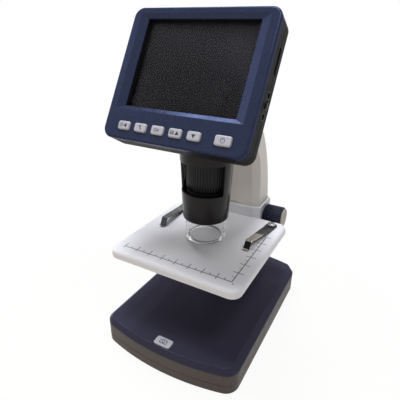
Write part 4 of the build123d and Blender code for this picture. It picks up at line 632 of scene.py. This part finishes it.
halfPitch, shortWidth = rule["pitch"] / 2, rule["tick"] * rule["shortTick"]
for k in range(round(rule["length"] / rule["pitch"])):
    x = -rule["side"] + k * rule["pitch"]
    tick((x, rule["front"] - rule["outward"]), (x, rule["front"] + rule["inward"]), rule["tick"])
    tick((x + halfPitch, rule["front"]), (x + halfPitch, rule["front"] + rule["short"]), shortWidth)
for k in range(1, 1 + round(rule["rearLength"] / rule["pitch"])):
    y = rule["front"] + k * rule["pitch"]
    tick((rule["side"] - rule["sideReach"], y), (rule["side"] + rule["sideReach"], y), rule["tick"])
    tick((rule["side"] - rule["sideShort"], y - halfPitch), (rule["side"], y - halfPitch), shortWidth)
dotCentre = (rule["side"] + rule["dot"][0], rule["front"] + rule["dot"][1])
ruleShapes.append(filled(arc(dotCentre, rule["dotRadius"], 0, 330, 12), ruleLow, ruleHigh))
makePiece("stage_rule", joined(ruleShapes), [inkGrey], "stage", sharp=20.0)

print("bending the clips")
clip = {
    "x": 37.5, "y": 27.0, "z": 76.6, "toeIn": 5.0, "bore": 1.56,
    "rearRadius": 4.2, "bend": 38.5, "bendWidth": 4.6, "tipWidth": 3.9, "end": 44.8,
    "flat": 4.8, "rise": 5.6, "tip": 42.0, "toe": 1.4, "thickness": 0.5, "crown": 0.05,
    "crownEase": 6.0, "edge": 0.12, "edgeAngle": 50.0,
    "columns": 9, "holeRings": 5,       # points across the blade, rings round the hole
}


# the blade's middle sheet: a ring of points round the pivot's hole, then rows along the
# blade at (s, z(s)) with points across it at v w(s), crowned by crown (1 - v^2)
def clipBlade(name, side, body, node, steel, paintedDarkTip):
    columns, holeRings = clip["columns"], clip["holeRings"]
    across = np.linspace(-1, 1, columns)
    halfWidth = lambda s: np.interp(s, [0, clip["bend"], clip["end"]],
                                    [clip["rearRadius"], clip["bendWidth"] / 2, clip["tipWidth"] / 2])
    middle = clip["thickness"] / 2
    path = softened([(clip["flat"], middle), (clip["flat"] + 0.01, middle), (clip["bend"], clip["rise"]),
                     (clip["tip"], middle + 0.1), (clip["tip"] + clip["toe"], middle + clip["toe"])],
                    [0, 0, 1.1, 0.9, 0], 9)
    s = np.concatenate([np.linspace(path[0, 0], path[9, 0], 24)[:-1], path[9:, 0]])
    z = np.interp(s, path[:, 0], path[:, 1])
    fade = np.clip((s - clip["flat"]) / clip["crownEase"], 0, 1)
    crown = clip["crown"] * (fade * fade * (3 - 2 * fade))[:, None] * (1 - across ** 2)
    blade = np.stack([s[:, None] + 0 * across, halfWidth(s)[:, None] * across, z[:, None] + crown], -1)
    front = np.stack([np.full(columns, clip["flat"]), halfWidth(clip["flat"]) * across], -1)
    left = np.linspace(front[-1], (0, clip["rearRadius"]), 6)[1:]
    rear = arc((0, 0), clip["rearRadius"], 90, 270, 22)[1:]
    right = np.linspace((0, -clip["rearRadius"]), front[0], 6)[1:-1]
    outer = np.concatenate([front, left, rear, right])
    inner = outer / np.linalg.norm(outer, axis=1, keepdims=True) * clip["bore"]
    share = np.linspace(0, 1, holeRings)[:, None, None]
    ring = inner * (1 - share) + outer * share
    ring = np.concatenate([ring, np.full((*ring.shape[:2], 1), middle)], -1)
    points, faces = joined([
        (ring.reshape(-1, 3), gridQuads(holeRings, len(outer), False, True)),
        (blade.reshape(-1, 3), [face[::-1] for face in gridQuads(len(s), columns)]),
    ])
    lean = radians(clip["toeIn"])
    ahead = np.array((-side * sin(lean), -cos(lean), 0.0))
    place = {"origin": (side * clip["x"], clip["y"], clip["z"]), "across": ahead,
             "up": np.array((-ahead[1], ahead[0], 0.0)), "out": (0.0, 0.0, 1.0)}
    rows = np.repeat(s[:-1], columns - 1)
    # faces between the bend and the tip take the second material, painted dark as a painted reflection
    onTip = (rows > clip["bend"] + 0.2) & (rows < clip["tip"] - 0.3)
    faceMaterials = np.concatenate([np.zeros((holeRings - 1) * len(outer), int), onTip.astype(int)])
    piece = makePiece(name, (placed(points, place), faces),
                      [steel, paintedDarkTip], body, faceMaterials)
    sheet = piece.modifiers.new("Sheet", "SOLIDIFY")
    sheet.thickness, sheet.offset = clip["thickness"] * mm, 0.0
    edges = piece.modifiers.new("Edges", "BEVEL")
    edges.width, edges.segments, edges.limit_method = clip["edge"] * mm, 2, "ANGLE"
    edges.angle_limit = radians(clip["edgeAngle"])
    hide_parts(node)


# the right clip's faces between bend and tip are painted black (black_seal) and the left's take its dark
# steel: painted dark reflection
clipBlade("clip_blade_left", -1, "left_clip", "stage_clip_left", shadedBlade, shadedBlade)
clipBlade("clip_blade_right", 1, "right_clip", "stage_clip_right", litBlade, materials["black_seal"])

print("turning the screws")


screwMesh = {
    "around": 72, "headRows": 20,
    "slotEase": 0.12, "crossEase": 0.2,     # width of the slope at the recess's sides and ends
}


# a pan-head screw: head rows z = height - crown (r/R)^2, sunk by the cross recess where
# |x| or |y| is under half its width, then the rim, the underside and the shank
def crossScrew(size):
    count, rows = screwMesh["around"], screwMesh["headRows"]
    radius, height = size["radius"], size["height"]
    r = np.linspace(0, radius - size["round"], rows)
    rim = arc((radius - size["round"], height - size["crown"] - size["round"]), size["round"], 90, 0, 6)
    profile = np.concatenate([
        np.c_[r, height - size["crown"] * (r / (radius - size["round"])) ** 2], rim,
        [(radius, 0.0), (size["shank"], 0.0), (size["shank"], -size["length"]),
         (0.0, -size["length"])]])
    points, faces = turned(profile, count)
    grid = points.reshape(len(profile), count, 3)
    x, y = np.abs(grid[:rows, :, 0]), np.abs(grid[:rows, :, 1])
    within = lambda across, along: (
        np.clip((size["slot"] / 2 - across) / screwMesh["slotEase"] + 0.5, 0, 1)
        * np.clip((size["cross"] / 2 - along) / screwMesh["crossEase"] + 0.5, 0, 1))
    grid[:rows, :, 2] -= size["recess"] * np.maximum(within(x, y), within(y, x))
    return grid.reshape(-1, 3), faces


# the same screw at several seats, each turned by its own angle, with its head towards `out`
def screws(name, size, seats, out, turns, body, node, slotName):
    out = np.array(out, float)
    helper = np.array((0.0, 0.0, 1.0)) if abs(out[2]) < 0.9 else np.array((0.0, 1.0, 0.0))
    base = np.cross(helper, out)
    base /= np.linalg.norm(base)
    other = np.cross(out, base)
    points, faces = crossScrew(size)
    shapes = []
    for seat, turn in zip(seats, turns):
        a = radians(turn)
        place = {"origin": seat, "across": base * cos(a) + other * sin(a),
                 "up": other * cos(a) - base * sin(a), "out": out}
        shapes.append((placed(points, place), faces))
    piece = makePiece(name, joined(shapes), [materials[slotName]], body, sharp=30.0)
    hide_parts(node)


clipScrew = {"radius": 2.9, "height": 2.0, "round": 0.5, "crown": 0.35, "shank": 1.5, "length": 4.7,
             "slot": 0.75, "cross": 3.2, "recess": 0.9}
clipSeats = [(side * clip["x"], clip["y"], 77.2) for side in (-1, 1)]
screws("clip_screw_heads", clipScrew, clipSeats, (0, 0, 1), (20, 65), "stage", "clip_screws",
       "sprung_chrome")

# screws that join the halves of the arm, sunk in its left side
armScrew = {**clipScrew, "height": 1.8, "round": 0.3, "crown": 0.2, "length": 37.3}
armSeats = [(-20.3, y, z) for y, z in [(45.5, 30.8), (45.5, 60.8), (38.0, 128.8), (12.5, 151.8)]]
screws("arm_screw_heads", armScrew, armSeats, (-1, 0, 0), (12, 50, 31, 77), "base_and_arm", "arm_screws",
       slotOf["arm_screws"])

# screws under the base
baseScrew = {**armScrew, "length": 13.8}
baseSeats = [(x, y, 2.8) for x in (-41.0, 41.0) for y in (-36.0, 36.0)]
screws("base_screw_heads", baseScrew, baseSeats, (0, 0, -1), (5, 40, 66, 24), "base_and_arm", "base_screws",
       slotOf["base_screws"])

# screws in the back of the display
caseScrew = {"radius": 1.9, "height": 1.2, "round": 0.25, "crown": 0.15, "shank": 1.1, "length": 12.2,
             "slot": 0.55, "cross": 2.3, "recess": 0.7}
caseSeats = placed(np.array([(x, y, -12.3) for x in (-41.2, 41.2) for y in (27.0, -41.5)]), faceTop)
screws("display_screw_heads", caseScrew, caseSeats, (0.0, leanCos, -leanSin), (15, 58, 80, 33), "display",
       "display_screws", slotOf["display_screws"])

print("turning the ring, the knob and the cap")
# focus ring, ribbed all round
ring = {"radius": 13.6, "rib": 0.6, "ribs": 44, "bore": 11.66, "low": 114.4, "high": 139.5, "ease": 0.4}
ringAxis = {"origin": (0.0, tubeY, 0.0), "across": (1.0, 0.0, 0.0), "up": (0.0, 1.0, 0.0),
            "out": (0.0, 0.0, 1.0)}
root = ring["radius"] - ring["rib"]        # radius between the ribs
ringProfile = [
    (ring["bore"], ring["low"]), (root - ring["ease"], ring["low"]), (root, ring["low"] + ring["ease"]),
    (root, ring["low"] + 2 * ring["ease"]), (root, ring["high"] - 2 * ring["ease"]),
    (root, ring["high"] - ring["ease"]), (root - ring["ease"], ring["high"]), (ring["bore"], ring["high"])]
points, faces = ribbed(ringProfile, [0, 0, 0.3, 1, 1, 0.3, 0, 0], ring["ribs"], ring["rib"])
piece = makePiece("focus_ring_ribs", (placed(points, ringAxis), faces), [materials["ribbed_black"]],
                  "focus_collar", sharp=50.0)
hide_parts("focus_ring")

# clamp knob, a ribbed cup with the spindle's bore
knob = {"radius": 9.2, "rib": 0.5, "ribs": 40, "y": 48.0, "z": 74.1, "low": 25.0, "high": 40.2,
        "cavity": 7.0, "floor": 30.2, "spindle": 2.5, "spindleEnd": 38.2, "ease": 0.6}
knobAxis = {"origin": (0.0, knob["y"], knob["z"]), "across": (0.0, 1.0, 0.0), "up": (0.0, 0.0, 1.0),
            "out": (1.0, 0.0, 0.0)}
root = knob["radius"] - knob["rib"]
knobProfile = [
    (0.0, knob["spindleEnd"]), (knob["spindle"], knob["spindleEnd"]), (knob["spindle"], knob["floor"]),
    (knob["cavity"], knob["floor"]), (knob["cavity"], knob["low"]), (root - knob["ease"], knob["low"]),
    (root, knob["low"] + knob["ease"]), (root, knob["low"] + 2 * knob["ease"]),
    (root, knob["high"] - 2 * knob["ease"]), (root, knob["high"] - knob["ease"]),
    (root - knob["ease"] * 0.6, knob["high"]), (0.0, knob["high"])]
points, faces = ribbed(knobProfile, [0, 0, 0, 0, 0, 0, 0.4, 1, 1, 0.4, 0, 0], knob["ribs"], knob["rib"],
                       closed=False)
piece = makePiece("clamp_knob_grip", (placed(points, knobAxis), faces), [materials["navy_knob"]],
                  "lock_screw", sharp=50.0)
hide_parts("lock_knob")

# clear cap round the lamps, with a lip inwards at its foot
cap = {"radius": 14.2, "wall": 2.0, "lip": 0.8, "lipHeight": 1.4, "low": 76.7, "high": 97.8,
       "softening": [0.35, 0.8, 0.2, 0.2, 0.3, 0.3], "steps": 6, "around": 144}
inside = cap["radius"] - cap["wall"]
capProfile = softened([
    (inside - cap["lip"], cap["low"]), (cap["radius"], cap["low"]), (cap["radius"], cap["high"]),
    (inside, cap["high"]), (inside, cap["low"] + cap["lipHeight"]),
    (inside - cap["lip"], cap["low"] + cap["lipHeight"])], cap["softening"], cap["steps"], closed=True)
points, faces = turned(capProfile, cap["around"], closed=True)
# the lip's rows take cap_rim, glass tinted near-black: a painted dark outline where the clear lip shows a
# dark line
lipRows = np.arange(len(capProfile)) >= len(capProfile) - cap["steps"]
piece = makePiece("clear_cap_wall", (placed(points, ringAxis), faces),
                  [materials["clear_cap"], materials["cap_rim"]], "base_and_arm",
                  np.repeat(lipRows, cap["around"]).astype(int), sharp=60.0)
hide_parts("clear_cap")

print("setting the floor, the lights and the camera")
room = {
    "ambient": 0.05, "ambientColour": (0.98, 0.98, 1.0),
    "floorColour": (0.86, 0.82, 0.74), "floorHalf": 3.0,
    "fadeStart": 0.08, "fadeEnd": 0.26, "fadeLow": 0.93,    # where the floor goes over to white
    "behindGlass": 0.55,    # taken off at each diffuse bounce
}


# 1 where the white surroundings are seen or mirrored; less where they light a surface behind glass
def seenDirectly(tree):
    path = addNode(tree, "LightPath").outputs
    both = math(tree, "MAXIMUM", path["Is Camera Ray"], path["Is Glossy Ray"])
    seen = math(tree, "MAXIMUM", both, path["Is Transmission Ray"])
    behind = math(tree, "MULTIPLY", path["Diffuse Depth"], room["behindGlass"])
    return math(tree, "MULTIPLY", seen, math(tree, "SUBTRACT", 1.0, behind, clamp=True))


world = bpy.data.worlds.new("softRoom")
world.use_nodes = True
bpy.context.scene.world = world
tree = world.node_tree
tree.nodes.clear()
lit = addNode(tree, "Background", {"Color": (*room["ambientColour"], 1), "Strength": room["ambient"]})
seen = addNode(tree, "Background", {"Color": (1, 1, 1, 1), "Strength": 1.0})
both = addNode(tree, "MixShader", {0: seenDirectly(tree), 1: lit.outputs[0], 2: seen.outputs[0]})
addNode(tree, "OutputWorld", {"Surface": both.outputs[0]})

floorMaterial = bpy.data.materials.new("paleFloor")
floorMaterial.use_nodes = True
tree = floorMaterial.node_tree
tree.nodes.clear()
where = addNode(tree, "TexCoord").outputs["Object"]
away = addNode(tree, "VectorMath", {0: where}, operation="LENGTH").outputs["Value"]
matt = addNode(tree, "BsdfDiffuse", {"Color": (*room["floorColour"], 1)})
white = addNode(tree, "Emission", {"Color": (1, 1, 1, 1), "Strength": 1.0})
direct = seenDirectly(tree)
whitened = remap(tree, away, room["fadeStart"], room["fadeEnd"], room["fadeLow"], 1.0)
fade = math(tree, "MULTIPLY", direct, whitened)
both = addNode(tree, "MixShader", {0: fade, 1: matt.outputs[0], 2: white.outputs[0]})
addNode(tree, "OutputMaterial", {"Surface": both.outputs[0]})
half = room["floorHalf"]
floorMesh = bpy.data.meshes.new("floor")
floorCorners = [(-half, -half, 0), (half, -half, 0), (half, half, 0), (-half, half, 0)]
floorMesh.from_pydata(floorCorners, [], [(0, 1, 2, 3)])
floorMesh.materials.append(floorMaterial)
floor = bpy.data.objects.new("floor", floorMesh)
bpy.context.scene.collection.objects.link(floor)

lamps = {
    "overhead": {"at": (-0.12, 0.02, 1.25), "aim": (0, 0, 0.1), "size": 0.35, "power": 10.5,
                 "colour": (0.92, 0.94, 1.0)},
    "rightLight": {"at": (0.45, -0.25, 1.10), "aim": (0, 0, 0.1), "size": 0.35, "power": 4.2,
                   "colour": (0.97, 0.97, 1.0)},
    "leftLight": {"at": (-1.15, -0.30, 0.80), "aim": (0, 0, 0.1), "size": 0.8, "power": 3.4,
                  "colour": (0.95, 0.96, 1.0)},
    "slopeGlow": {"at": (-0.50, 0.29, 1.14), "aim": (0, 0, 0.17), "size": 0.2, "power": 2.8,
                  "colour": (0.97, 0.98, 1.0)},
    "frontFill": {"at": (-0.50, -1.15, 0.45), "aim": (0, 0, 0.10), "size": 0.9, "power": 1.7,
                  "colour": (1.0, 0.82, 0.56)},
}
for name, lamp in lamps.items():
    light = bpy.data.lights.new(name, "AREA")
    light.shape, light.size, light.energy = "SQUARE", lamp["size"], lamp["power"]
    light.color = lamp["colour"]
    holder = bpy.data.objects.new(name, light)
    holder.location = lamp["at"]
    toward = Vector(lamp["aim"]) - Vector(lamp["at"])
    holder.rotation_euler = toward.to_track_quat("-Z", "Y").to_euler()
    bpy.context.scene.collection.objects.link(holder)

viewpoint = {"at": (0.107795, -0.215036, 0.210222), "azimuth": 28.146, "elevation": 24.759, "roll": 1.106,
             "lens": 32.94, "shiftX": -0.00905, "shiftY": 0.0024}
a, e, r = (radians(viewpoint[key]) for key in ("azimuth", "elevation", "roll"))
back = Vector((sin(a) * cos(e), -cos(a) * cos(e), sin(e)))
right = Vector((cos(a), sin(a), 0))
up = back.cross(right)
rightTurned = cos(r) * right + sin(r) * up
upTurned = -sin(r) * right + cos(r) * up
lensData = bpy.data.cameras.new("camera")
lensData.sensor_width, lensData.lens = 36.0, viewpoint["lens"]
lensData.shift_x, lensData.shift_y = viewpoint["shiftX"], viewpoint["shiftY"]
lensData.clip_start = 0.01
camera = bpy.data.objects.new("camera", lensData)
camera.matrix_world = Matrix((
    (rightTurned.x, upTurned.x, back.x, viewpoint["at"][0]),
    (rightTurned.y, upTurned.y, back.y, viewpoint["at"][1]),
    (rightTurned.z, upTurned.z, back.z, viewpoint["at"][2]),
    (0, 0, 0, 1)))
bpy.context.scene.collection.objects.link(camera)
bpy.context.scene.camera = camera
bpy.context.scene.view_settings.view_transform = "Standard"
